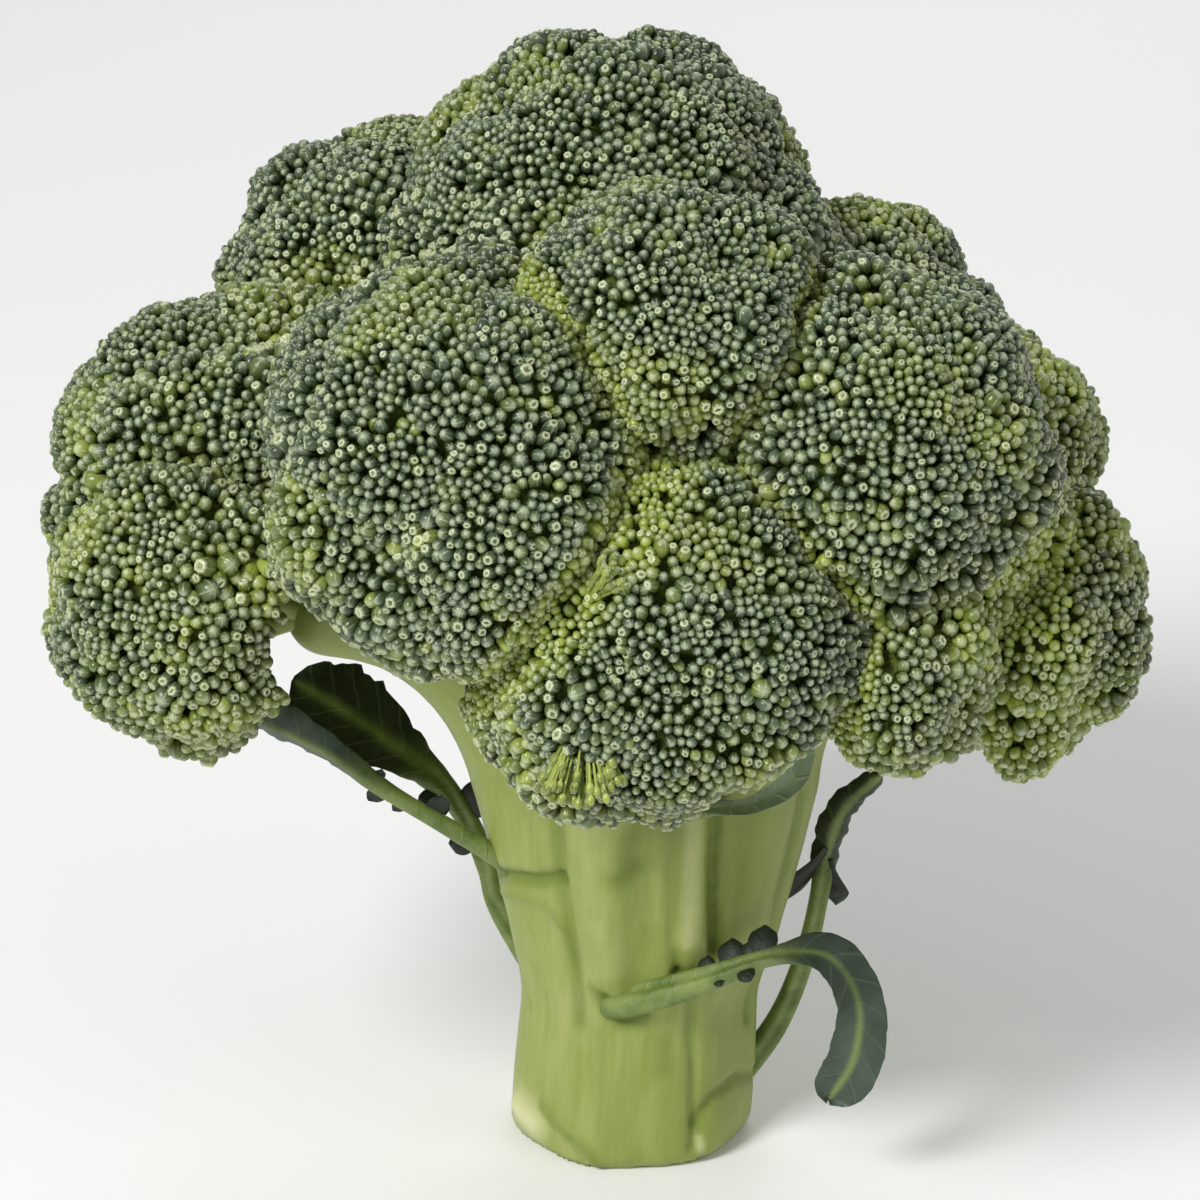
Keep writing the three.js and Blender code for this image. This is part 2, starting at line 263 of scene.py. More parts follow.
def skin_marks(turn, height):
    """How deep each point of the trunk's skin is pressed in, and its tint."""
    depth, tint = np.zeros(len(turn)), np.zeros(len(turn))
    for line, width, press, shade in SKIN_MARKS:
        closest = np.full(len(turn), 1e9)
        for (b0, z0), (b1, z1) in zip(line, line[1:]):
            start = np.array([0.0, z0])
            end = np.array([math.radians(b1 - b0) * STALK_RADIUS * MARKED_RADIUS, z1])
            across = (np.degrees(turn) - b0 + 180.0) % 360.0 - 180.0
            spots = np.stack([np.radians(across) * STALK_RADIUS * MARKED_RADIUS, height], axis=1)
            closest = np.minimum(closest, near_tube(spots, start, end, 0.0, 0.0))
        strength = np.exp(-((closest / width) ** 2))
        depth += press * strength
        tint += shade * np.exp(-((closest / (1.25 * width)) ** 2))
    return depth, tint


def make_piece(name, points, faces, marks=()):
    """A mesh piece that rides on the plant, from its points, its faces and marks for its finish."""
    mesh = bpy.data.meshes.new(name)
    corners = np.concatenate([part.ravel() for part in faces]).astype(np.int32)
    sizes = np.concatenate([np.full(len(part), part.shape[1]) for part in faces])
    mesh.vertices.add(len(points))
    mesh.vertices.foreach_set("co", (points * MM).astype(np.float32).ravel())
    mesh.loops.add(len(corners))
    mesh.loops.foreach_set("vertex_index", corners)
    mesh.polygons.add(len(sizes))
    starts = np.concatenate([[0], np.cumsum(sizes)[:-1]]).astype(np.int32)
    mesh.polygons.foreach_set("loop_start", starts)
    mesh.polygons.foreach_set("use_smooth", np.ones(len(sizes), bool))
    mesh.update(calc_edges=True)
    for mark, values in marks:
        held = mesh.attributes.new(mark, "FLOAT_VECTOR", "POINT")
        held.data.foreach_set("vector", values.astype(np.float32).ravel())
    made = bpy.data.objects.new(name, mesh)
    bpy.context.scene.collection.objects.link(made)
    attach(made, "root")
    return made


class Wire:
    """A socket's value in a finish, which takes part in sums."""

    def __init__(self, finish, socket):
        self.finish, self.socket = finish, socket

    def sum_with(self, work, first, second):
        return self.finish.node("ShaderNodeMath", {"operation": work}, {0: first, 1: second})

    def __add__(self, other):
        return self.sum_with("ADD", self, other)

    def __sub__(self, other):
        return self.sum_with("SUBTRACT", self, other)

    def __mul__(self, other):
        return self.sum_with("MULTIPLY", self, other)

    def __abs__(self):
        return self.sum_with("ABSOLUTE", self, 0.0)

    def most(self, other):
        return self.sum_with("MAXIMUM", self, other)

    def eased(self, low, high):
        """0 below low and 1 above high, with a soft rise between."""
        settings = {"interpolation_type": "SMOOTHSTEP"}
        sockets = {"Value": self, "From Min": low, "From Max": high}
        return self.finish.node("ShaderNodeMapRange", settings, sockets, "Result")


class Finish:
    """A material being made up from nodes."""

    def __init__(self, name):
        self.material = bpy.data.materials.new(name)
        self.material.use_nodes = True
        self.nodes = self.material.node_tree.nodes
        self.nodes.clear()

    def node(self, kind, settings=None, sockets=None, output=0):
        made = self.nodes.new(kind)
        for setting, value in (settings or {}).items():
            setattr(made, setting, value)
        for socket, value in (sockets or {}).items():
            if isinstance(value, Wire):
                self.material.node_tree.links.new(value.socket, made.inputs[socket])
            else:
                made.inputs[socket].default_value = value
        return Wire(self, made.outputs[output]) if made.outputs else made

    def mark(self, name, output="Vector"):
        return self.node("ShaderNodeAttribute", {"attribute_name": name}, output=output)

    def parts(self, vector):
        split = self.node("ShaderNodeSeparateXYZ", sockets={0: vector}).socket.node
        return [Wire(self, split.outputs[i]) for i in range(3)]

    def mix(self, share, first, second):
        """From the first colour to the second as share goes from 0 to 1."""
        settings = {"data_type": "RGBA", "clamp_factor": True}
        return self.node("ShaderNodeMix", settings, {0: share, 6: first, 7: second}, 2)

    def noise(self, vector, scale, detail=2.0, rough=0.5):
        sockets = {"Vector": vector, "Scale": scale, "Detail": detail, "Roughness": rough}
        return self.node("ShaderNodeTexNoise", {}, sockets, "Fac")

    def bump(self, height, strength, distance):
        sockets = {"Height": height, "Strength": strength, "Distance": distance}
        return self.node("ShaderNodeBump", {}, sockets)

    def surface(self, sockets):
        shader = self.node("ShaderNodeBsdfPrincipled", {}, sockets)
        self.node("ShaderNodeOutputMaterial", {}, {"Surface": shader})
        return self.material


def paint(red, green, blue):
    """A colour as a paint chart gives it, 0 to 255, as the light that it reflects."""
    return tuple(((v / 255 + 0.055) / 1.055) ** 2.4 for v in (red, green, blue)) + (1.0,)


def stalk_finish():
    finish = Finish("stalk_skin")
    grain = finish.mark("grain")
    tint, branch, cut = finish.parts(finish.mark("skin"))
    streaks = finish.noise(grain, 0.42, 3.0, 0.6)
    fine = finish.noise(grain, 1.6, 2.0, 0.6)
    place = finish.node("ShaderNodeTexCoord", output="Object")
    clouds = finish.noise(place, 45.0, 3.0, 0.55)
    spots = finish.noise(place, 190.0, 2.0, 0.5)
    flesh = finish.mix(streaks.eased(0.25, 0.75), paint(136, 149, 68), paint(156, 165, 90))
    flesh = finish.mix(clouds.eased(0.45, 0.72) * 0.5, flesh, paint(132, 150, 62))
    flesh = finish.mix(clouds.eased(0.42, 0.26) * 0.5, flesh, paint(166, 172, 112))
    flesh = finish.mix(fine.eased(0.55, 0.75) * 0.2, flesh, paint(172, 180, 118))
    flesh = finish.mix(spots.eased(0.66, 0.74) * 0.25, flesh, paint(118, 130, 58))
    flesh = finish.mix(branch * 0.35, flesh, paint(152, 168, 96))
    flesh = finish.mix(tint * -1.0, flesh, paint(100, 118, 36))
    flesh = finish.mix(tint * 0.85, flesh, paint(208, 208, 158))
    middle = finish.node("ShaderNodeVectorMath", {"operation": "LENGTH"}, {0: grain}, "Value")
    fibres = finish.noise(grain, 1.6, 4.0, 0.7)
    face = finish.mix(middle.eased(9.0, 13.0), paint(196, 204, 150), paint(170, 182, 112))
    face = finish.mix(middle.eased(14.5, 16.5), face, paint(138, 156, 74))
    face = finish.mix(fibres.eased(0.5, 0.75) * 0.5, face, paint(216, 216, 172))
    flesh = finish.mix(cut, flesh, face)
    relief = streaks * 0.6 + fine * 0.4 + spots * 0.3
    return finish.surface({
        "Base Color": flesh,
        "Roughness": streaks * 0.12 + 0.40,
        "Normal": finish.bump(relief, 0.2, 0.0004),
        "Specular IOR Level": 0.42,
    })


def make_stalk():
    points, quads = grow_stalk()
    points = smoothed(points, quads, SMOOTHING)
    points[:, 2] = np.where(points[:, 2] < CUT_ROUNDING, 0.0, points[:, 2])
    normals = face_normals(points, quads)
    side = points[:, 0] - LEAN * points[:, 2]
    turn = np.arctan2(points[:, 1], side)
    away = np.hypot(side, points[:, 1]) - trunk_radius(points[:, 2])
    stations = np.concatenate([head.path for head in heads])
    girths = np.concatenate([head.girth for head in heads])
    runs = np.concatenate([head.run for head in heads])
    gaps = np.linalg.norm(points[:, None, :] - stations[None], axis=2) - girths
    nearest = gaps.argmin(axis=1)
    on_branch = ease(2.0, 6.0, away - gaps.min(axis=1))
    depth, tint = skin_marks(turn, points[:, 2])
    # The marks fade out at the cut, above the forks and away from the trunk's skin.
    hold = ease(8.0, 4.0, np.abs(away)) * ease(0.0, 1.5, points[:, 2]) * ease(72.0, 60.0, points[:, 2])
    cut = ((normals[:, 2] < -0.7) & (points[:, 2] < 1.0)).astype(float)
    points = points - normals * (depth * hold * (1.0 - cut))[:, None]
    grain = np.stack([side, points[:, 1], GRAIN_SQUEEZE * points[:, 2]], axis=1)
    offset = points - stations[nearest]
    ways = np.concatenate([np.gradient(head.path, axis=0) for head in heads])
    ways = unit(ways)[nearest]
    along = (offset * ways).sum(axis=1)
    across = offset - along[:, None] * ways
    limb = across + BRANCH_SHIFT * (nearest // BRANCH_STEPS)[:, None]
    limb = limb + (GRAIN_SQUEEZE * (runs[nearest] + along))[:, None]
    grain = np.where((on_branch > 0.5)[:, None], limb, grain)
    grain = np.where((cut > 0.5)[:, None], np.stack([side, points[:, 1], 0 * side], axis=1), grain)
    skin = np.stack([tint * hold, on_branch, cut], axis=1)
    made = make_piece("stalk_flesh", points, [quads], [("grain", grain), ("skin", skin)])
    made.data.materials.append(stalk_finish())
    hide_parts("stalk")


make_stalk()

# ------------------------------------------------------------------------------------ bud heads
# Each branch ends in a domed head of hundreds of closed flower buds, packed shoulder to shoulder. The
# buds stand in small tufts, and the tufts in lumps, so that the dome is pebbled at two sizes. A green
# tangle of bud stems fills the dome behind them.

seed = np.random.default_rng(7)
GOLDEN = math.pi * (3.0 - math.sqrt(5.0))
RAYS = 1300  # how many ways each dome is felt from its middle
BLUR = 0.085  # radians over which a dome's edges are rounded
MERGED = 17.0  # within this distance of another head a dome swells towards it
MOST_FILLED = 3.2  # how far a dome swells towards a head that it has not grown together with
CLEFT_WIDTH, CLEFT_DEPTH = 6.0, 1.0  # the gap beside such a head, where the buds are young and small
WIDE_CLEFTS = {("front", "front_left"): 13.0, ("front_left", "front"): 8.0}
GROWN_TOGETHER = [
    ("top", "upper_left"), ("top", "upper_right"), ("top", "crown_front"), ("top", "back"),
    ("left", "left_low"), ("left", "front_left"), ("left_low", "front_left"),
    ("upper_left", "left"), ("upper_left", "front_left"),
    ("front_right", "upper_right"), ("right", "right_low"), ("top", "front_right"),
    ("back", "upper_left"), ("back", "back_left"), ("back_left", "left"), ("back_right", "right"),
    ("back_right", "back"), ("upper_right", "back_right"), ("right", "upper_right"),
]
# Offshoots of single domes, and dents: the way they lie, their width in radians and their height.
OFFSHOOTS = {
    "crown_front": [((0.05, -0.66, -0.75), 0.55, 3.5)],
    "right_low": [((-0.05, -0.76, -0.62), 0.32, 6.5)],
    "front": [
        ((0.58, -0.34, -0.74), 0.42, -10.0),
        ((-0.34, -0.6, 0.72), 0.3, 1.6),
        ((-0.66, -0.36, -0.66), 0.32, 3.0),
    ],
    "upper_left": [((0.1, -0.95, -0.2), 0.5, 6.0)],
    "front_left": [((-0.35, 0.85, 0.15), 0.5, 6.0)],
    "left": [((0.7, 0.35, 0.62), 0.5, 5.0)],
    "right": [((-0.6, -0.2, 0.77), 0.5, 6.0)],
    "right_inner": [((-0.55, -0.8, 0.2), 0.5, 4.0)],
    "front_small": [((-0.6, -0.5, 0.6), 0.6, 3.0)],
    "front_right": [((-0.25, -0.75, -0.6), 0.4, 3.0)],
}
COVER = math.radians(113.0)  # how far from its top a dome carries buds
DEEPER_COVER = 0.26  # how much further they go on these domes, in radians
COVERED_DEEPER = ("crown_front", "right_inner", "front_small", "left", "front_right")
FINE_BUDDED = ("top", "crown_front", "upper_left", "upper_right")
TILTS, TURNS = 64, 128  # rows and columns of a dome's tables
LUMP_SPACING, LUMP_HEIGHT = 19.0, 3.3
TUFT_SPACING, TUFT_HEIGHT = 8.4, 1.5
TUFT_ROOT = 8.5  # how deep the stems of one tuft meet
DOME_INSET = 1.1
FEEL_STEP = 0.035  # radians between the points that a dome's slope is felt at
SKY_RAYS, SKY_REACH = 26, 70.0  # how the open sky is felt for from each place on a dome
BUD_SPACING = (1.27, 1.66)  # at a tuft's middle and at its edge
CLOSEST_BUDS = 0.375  # share of the room of two buds that has to lie between them
CROWD_CELL = 2.6  # wider than any two crowded buds are apart
SETTLING_ROUNDS = 7
BUD_NEIGHBOURS = 6
BARE_BELOW = 0.045  # the share of open sky under which no bud grows
CORE_DEPTH = 2.2  # below the dome's outside
CORE_FLOOR = 0.14  # share of the head's radius from its middle down to the core's flat underside
CORE_ROUNDING = 1.5


def spread(count):
    """Directions spread evenly over a sphere."""
    rise = 1.0 - 2.0 * (np.arange(count) + 0.5) / count
    turn = GOLDEN * np.arange(count)
    flat = np.sqrt(1.0 - rise * rise)
    return np.stack([flat * np.cos(turn), flat * np.sin(turn), rise], axis=1)


def framed(axis):
    """Two directions across an axis, and the axis, as rows."""
    side = unit(np.cross(axis, [0.3, 0.1, 1.0] if abs(axis[2]) < 0.9 else [1.0, 0.2, 0.0]))
    return np.stack([side, np.cross(axis, side), axis])


def lumps(ways, centres, radius, spacing, height):
    """Rounded lumps around centres with creases between them, and the share of the way to a crease."""
    apart = np.arccos(np.clip(ways @ centres.T, -1.0, 1.0)) * radius
    closest = apart.min(axis=1)
    share = np.clip(closest / (0.62 * spacing), 0.0, 1.2)
    return height * (0.45 - share ** 2.2), share


class Dome:
    """The outside of one head, as a distance from its middle in every direction."""

    def __init__(self, head):
        self.head = head
        self.frame = framed(head.axis)
        self.ways = spread(RAYS) @ self.frame
        felt = self.felt()
        swell, cleft = self.crowding(head.middle + self.ways * felt[:, None])
        felt = felt + swell * ease(2.4, 1.8, self.tilt(self.ways))
        self.size = float(np.median(felt))
        tilt, turn = np.meshgrid(
            np.linspace(0.0, math.pi, TILTS), np.linspace(0.0, 2 * math.pi, TURNS + 1), indexing="ij"
        )
        out = np.sin(tilt)
        local = np.stack([out * np.cos(turn), out * np.sin(turn), np.cos(tilt)], axis=-1)
        self.grid = local.reshape(-1, 3) @ self.frame
        near = self.grid.astype(np.float32) @ self.ways.T.astype(np.float32)
        near = np.exp((near - 1.0) / BLUR ** 2)
        self.weights = near / near.sum(axis=1, keepdims=True)
        lump_ways = self.centres(LUMP_SPACING, 0.25)
        self.tuft_ways = self.centres(TUFT_SPACING, 0.22)
        lump, _ = lumps(self.grid, lump_ways, self.size, LUMP_SPACING, LUMP_HEIGHT)
        tuft, _ = lumps(self.grid, self.tuft_ways, self.size, TUFT_SPACING, TUFT_HEIGHT)
        under = ease(1.9, 2.3, tilt.reshape(-1))
        reach = self.weights @ felt - DOME_INSET + (lump + tuft) * (1.0 - under)
        self.reach = reach.reshape(TILTS, TURNS + 1)
        self.cleft = (self.weights @ cleft).reshape(TILTS, TURNS + 1)
        self.sky = np.ones((TILTS, TURNS + 1))

    def felt(self):
        """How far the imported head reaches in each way."""
        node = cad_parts["floret_" + self.head.name].data
        corners = [tuple(v.co) for v in node.vertices]
        shape = BVHTree.FromPolygons(corners, [tuple(p.vertices) for p in node.polygons])
        start = Vector(self.head.middle * MM)
        hits = [shape.ray_cast(start, Vector(way)) for way in self.ways]
        return np.array([hit[3] / MM if hit[0] is not None else self.head.radius for hit in hits])

    def crowding(self, spots):
        """How far the dome swells at each spot, and how deep each lies in a cleft between heads."""
        swell, cleft = np.zeros(RAYS), np.zeros(RAYS)
        for other in heads:
            if other is self.head:
                continue
            pair = (self.head.name, other.name)
            apart = np.abs(np.linalg.norm(spots - other.middle, axis=1) - other.radius)
            near = np.clip(1.0 - apart / MERGED, 0.0, 1.0) ** 2
            if pair in GROWN_TOGETHER or pair[::-1] in GROWN_TOGETHER:
                swell = np.maximum(swell, 0.25 * MERGED * near)
            else:
                swell = np.maximum(swell, np.minimum(0.55 * MERGED * near, MOST_FILLED))
                width = WIDE_CLEFTS.get(pair, CLEFT_WIDTH)
                cleft = np.maximum(cleft, np.clip(1.0 - apart / width, 0.0, 1.0))
        swell = swell - CLEFT_DEPTH * cleft ** 2
        for way, width, height in OFFSHOOTS.get(self.head.name, []):
            turned = np.arccos(np.clip(self.ways @ unit(np.array(way)), -1.0, 1.0))
            swell = swell + height * np.exp(-((turned / width) ** 2))
        return swell, cleft

    def centres(self, spacing, wander):
        """The ways of lumps or tufts spread over the dome, each a little out of line."""
        count = max(int(4.0 * math.pi * self.size ** 2 / (0.87 * spacing ** 2)), 6)
        ways = spread(count) + seed.normal(0.0, wander / math.sqrt(count) * 2.0, (count, 3))
        return unit(ways) @ framed(unit(seed.normal(size=3)))

    def read(self, table, ways):
        """A table's values in the given directions."""
        local = ways @ self.frame.T
        row = np.arccos(np.clip(local[:, 2], -1.0, 1.0)) / math.pi * (TILTS - 1)
        column = (np.arctan2(local[:, 1], local[:, 0]) % (2 * math.pi)) / (2 * math.pi) * TURNS
        i = np.minimum(row.astype(int), TILTS - 2)
        j = np.minimum(column.astype(int), TURNS - 1)
        p, q = row - i, column - j
        upper = table[i, j] * (1 - q) + table[i, j + 1] * q
        lower = table[i + 1, j] * (1 - q) + table[i + 1, j + 1] * q
        return upper * (1 - p) + lower * p

    def skin(self, ways):
        return self.head.middle + ways * self.read(self.reach, ways)[:, None]

    def normals(self, ways):
        side = unit(np.cross(ways, self.head.axis + 0.013))  # so that no way lies along it
        up = np.cross(ways, side)
        slopes = []
        for step in (FEEL_STEP * side, FEEL_STEP * up):
            slopes.append(self.skin(unit(ways + step)) - self.skin(unit(ways - step)))
        normals = unit(np.cross(*slopes))
        return normals * np.sign((normals * ways).sum(axis=1, keepdims=True))

    def tilt(self, ways):
        return np.arccos(np.clip(ways @ self.head.axis, -1.0, 1.0))

    def core(self):
        """The tangle behind the buds: a closed shape with a flat underside."""
        tilt = np.linspace(0.0, math.pi, TILTS)[:, None]
        floor = CORE_FLOOR * self.head.radius / np.maximum(-np.cos(tilt), 1e-3)
        floor = np.where(tilt > math.pi / 2 + 0.02, floor, 1e3)
        reach = self.reach - CORE_DEPTH
        soft = CORE_ROUNDING
        both = -soft * np.log(np.exp(-reach / soft) + np.exp(-np.minimum(floor, 200.0) / soft))
        rings = both[2:-2:2, :-1:2]
        ways = self.grid.reshape(TILTS, TURNS + 1, 3)[2:-2:2, :-1:2]
        points = (self.head.middle + ways * rings[..., None]).reshape(-1, 3)
        rows, columns = rings.shape
        top = self.head.middle + self.head.axis * both[0, 0]
        bottom = self.head.middle - self.head.axis * both[-1, 0]
        points = np.concatenate([points, [top, bottom]])
        place = np.arange(rows * columns).reshape(rows, columns)
        after = np.roll(place, -1, axis=1)
        quads = np.stack([place[:-1], place[1:], after[1:], after[:-1]], axis=-1).reshape(-1, 4)
        tip = np.stack([np.full(columns, rows * columns), place[0], after[0]], axis=-1)
        foot = np.stack([np.full(columns, rows * columns + 1), after[-1], place[-1]], axis=-1)
        return points, quads, np.concatenate([tip, foot])


domes = [Dome(head) for head in heads]


def open_sky():
    """Feels from every dome how much of the sky its neighbours leave open."""
    corners, faces, base = [], [], 0
    for dome in domes:
        points, quads, tips = dome.core()
        corners.append(points)
        faces += [tuple(face) for face in (quads + base).tolist() + (tips + base).tolist()]
        base += len(points)
    crown = BVHTree.FromPolygons(np.concatenate(corners).tolist(), faces)
    rays = spread(2 * SKY_RAYS)[:SKY_RAYS]
    for dome in domes:
        starts = dome.skin(dome.ways)
        normals = dome.normals(dome.ways)
        seen = np.zeros(RAYS)
        for i in range(RAYS):
            start = Vector(starts[i] + normals[i] * 0.6)
            turned = rays @ framed(normals[i])
            weight = rays[:, 2]
            clear = [crown.ray_cast(start, Vector(ray), SKY_REACH)[0] is None for ray in turned]
            seen[i] = (np.array(clear) * weight).sum() / weight.sum()
        dome.sky = (dome.weights @ seen).reshape(TILTS, TURNS + 1)


open_sky()


def patches(places, across):
    """A soft pattern from -1 to 1 with patches about this far across."""
    x, y, z = (places / across * 3.0).T
    broad = np.sin(x + 1.3) * np.sin(0.8 * y + 0.5 * z)
    fine = np.sin(1.7 * z + 0.9 * x + 2.0) * np.sin(1.3 * y - 0.6 * x)
    return np.clip((broad + fine) * 0.8, -1.0, 1.0)


def uncrowded(places, room):
    """Which places are kept, first come first served, so that no bud crowds another."""
    spots, rooms = places.tolist(), room.tolist()
    beside = [(a, b, c) for a in (-1, 0, 1) for b in (-1, 0, 1) for c in (-1, 0, 1)]
    taken, kept = {}, []

    def crowded(index, i, j, k):
        x, y, z = spots[index]
        for a, b, c in beside:
            for other in taken.get((i + a, j + b, k + c), ()):
                u, v, w = spots[other]
                least = CLOSEST_BUDS * (rooms[index] + rooms[other])
                if (x - u) ** 2 + (y - v) ** 2 + (z - w) ** 2 < least * least:
                    return True
        return False

    for index, cell in enumerate(np.floor(places / CROWD_CELL).astype(int).tolist()):
        if not crowded(index, *cell):
            taken.setdefault(tuple(cell), []).append(index)
            kept.append(index)
    return kept


def settled(dome, ways, room):
    """The buds' ways after they have pushed one another evenly apart."""
    for _ in range(SETTLING_ROUNDS):
        places = dome.skin(ways)
        spots = places.tolist()
        tree = KDTree(len(spots))
        for index, spot in enumerate(spots):
            tree.insert(spot, index)
        tree.balance()
        near = [[hit[1] for hit in tree.find_n(spot, BUD_NEIGHBOURS + 1)] for spot in spots]
        near = np.array(near)[:, 1:]  # without the bud itself
        gap = places[:, None] - places[near]
        length = np.maximum(np.linalg.norm(gap, axis=2, keepdims=True), 1e-6)
        wanted = 0.5 * (room[:, None] + room[near])[..., None]
        push = (gap / length * np.clip(wanted - length, -0.1, 0.7)).sum(axis=1) * 0.22
        ways = unit(places + push - dome.head.middle)
    return ways


def scatter(dome):
    """Ways for the buds of one dome, with the room that each has."""
    dense = int(4.0 * math.pi * dome.size ** 2 / (0.42 * BUD_SPACING[0] ** 2))
    ways = unit(spread(dense) + seed.normal(0.0, 0.5 / math.sqrt(dense), (dense, 3)))
    ways = ways @ framed(unit(seed.normal(size=3)))
    edge = COVER + DEEPER_COVER * (dome.head.name in COVERED_DEEPER)
    edge = edge + 0.1 * np.sin(5.0 * ways @ dome.frame[0] * 3.0 + 2.0 * ways @ dome.frame[1])
    ways = ways[(dome.tilt(ways) < edge) & (dome.read(dome.sky, ways) > BARE_BELOW)]
    ways = ways[seed.permutation(len(ways))]
    _, share = lumps(ways, dome.tuft_ways, dome.size, TUFT_SPACING, TUFT_HEIGHT)
    small, large = BUD_SPACING
    fine = 0.94 if dome.head.name in FINE_BUDDED else 1.03
    room = small + (large - small) * np.clip(share, 0, 1) ** 1.5
    room = room * fine * seed.uniform(0.88, 1.16, len(ways))
    room = np.where(seed.random(len(ways)) < 0.08, room * 1.3, room)  # a few fat ones
    places = dome.skin(ways)
    room = room * (1.0 + 0.13 * patches(places, 17.0)) * (1.0 + 0.14 * ease(0.9, 1.5, dome.tilt(ways)))
    room = room * (1.0 - 0.3 * dome.read(dome.cleft, ways))
    kept = uncrowded(places, room)
    return settled(dome, ways[kept], room[kept]), room[kept]


# A bud is a closed egg of four sepals on a thin stem. Its rings run from the tip down to the stem's
# foot: height, radius and how pale the rim is, for a shut bud and for one whose sepals just part.
RING = 8
STEM_RINGS = [(-0.95, 0.55, 0), (-1.4, 0.32, 0), (-3.2, 0.26, 0)]
SHUT = [(0.97, 0.0, 0), (0.9, 0.42, 0), (0.64, 0.78, 0), (0.16, 1.0, 0), (-0.42, 0.92, 0)]
SHUT += STEM_RINGS
PARTED = [(0.5, 0.0, 0.1), (0.98, 0.52, 1), (0.66, 0.82, 0.1), (0.14, 0.98, 0), (-0.42, 0.88, 0)]
PARTED += STEM_RINGS
SEPAL_RINGS = 5  # the rings that the four sepals make a little square
STEM_BELOW = -1.2  # a bud's length doesn't stretch its stem, which is under this height
# How far from the middle of its own square of the baked picture each ring of a bud lies.
ATLAS_RINGS = [0.0, 0.13, 0.23, 0.31, 0.375, 0.425, 0.45, 0.475]
BUDS_IN_PIECE = 1700


def bud_pattern(rings):
    """A bud's points with the tip first, and its pale rim."""
    points, pale = [(0.0, 0.0, rings[0][0])], [rings[0][2]]
    for index, (height, radius, rim) in enumerate(rings[1:], 1):
        square = 0.07 if index < SEPAL_RINGS else 0.0
        for k in range(RING):
            turn = 2.0 * math.pi * k / RING
            out = radius * (1.0 + square * math.cos(4.0 * turn))
            points.append((out * math.cos(turn), out * math.sin(turn), height))
            pale.append(rim)
    return np.array(points), np.array(pale)


def bud_faces():
    last = len(SHUT) - 1
    ring = np.arange(RING)
    after = (ring + 1) % RING
    tips = np.stack([np.zeros(RING, int), 1 + ring, 1 + after], axis=1)
    first = 1 + RING * np.arange(last - 1)[:, None]
    below = first + RING
    quads = np.stack([first + ring, below + ring, below + after, first + after], axis=2).reshape(-1, 4)
    foot = (1 + (last - 1) * RING + ring[::-1])[None]
    return tips, quads, foot


def make_buds(name, dome, places, axes, spins, sizes, lengths, stems, states, parted, finish):
    """One piece of buds: every bud is a closed mesh of its own."""
    shut, shut_pale = bud_pattern(SHUT)
    open_, open_pale = bud_pattern(PARTED)
    count, many = len(places), len(shut)
    shape = np.where(parted[:, None, None], open_[None], shut[None])
    mouth = np.where(parted, 0.3 + 0.7 * states[:, 1], 1.0)
    shape[:, 1 : 1 + RING, 0] *= mouth[:, None]
    pale = np.where(parted[:, None], open_pale[None], shut_pale[None])
    local = shape * sizes[:, None, None]
    local[..., 2] *= np.where(shape[..., 2] > STEM_BELOW, lengths[:, None], 1.0)
    local[:, -RING:, 2] = -stems[:, None]
    bases = np.stack([framed(axis) for axis in axes])
    turned = np.cos(spins)[:, None] * local[..., 0] - np.sin(spins)[:, None] * local[..., 1]
    crossed = np.sin(spins)[:, None] * local[..., 0] + np.cos(spins)[:, None] * local[..., 1]
    local = np.stack([turned, crossed, local[..., 2]], axis=-1)
    points = (places[:, None] + np.einsum("nvk,nkc->nvc", local, bases)).reshape(-1, 3)
    tips, quads, foot = bud_faces()
    jump = (np.arange(count) * many)[:, None, None]
    faces = [(part[None] + jump).reshape(-1, part.shape[1]) for part in (tips, quads, foot)]
    state = np.concatenate([np.repeat(states[:, None], many, axis=1), pale[..., None]], axis=2)
    marks = [("bud", shape.reshape(-1, 3)), ("state", state.reshape(-1, 3))]
    made = make_piece(name, points, faces, marks)
    columns = math.ceil(math.sqrt(count))
    turn = 2.0 * np.pi * np.arange(RING) / RING
    spot = np.concatenate([[[0.0, 0.0]]] + [
        np.stack([out * np.cos(turn), out * np.sin(turn)], axis=1) for out in ATLAS_RINGS[1:]
    ])
    cell = np.stack([np.arange(count) % columns, np.arange(count) // columns], axis=1)
    corner = 0.04 + 0.02 * np.stack([np.cos(turn), np.sin(turn)], axis=1)[::-1]
    maps = [0.5 + spot[part] for part in (tips, quads)] + [corner[None]]
    flat = [(cell[:, None, None] + part[None]).reshape(-1, 2) / columns for part in maps]
    layer = made.data.uv_layers.new(name="OFBake")
    layer.data.foreach_set("uv", np.concatenate(flat).astype(np.float32).ravel())
    made.data.materials.append(finish)
    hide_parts("floret_" + dome.head.name)


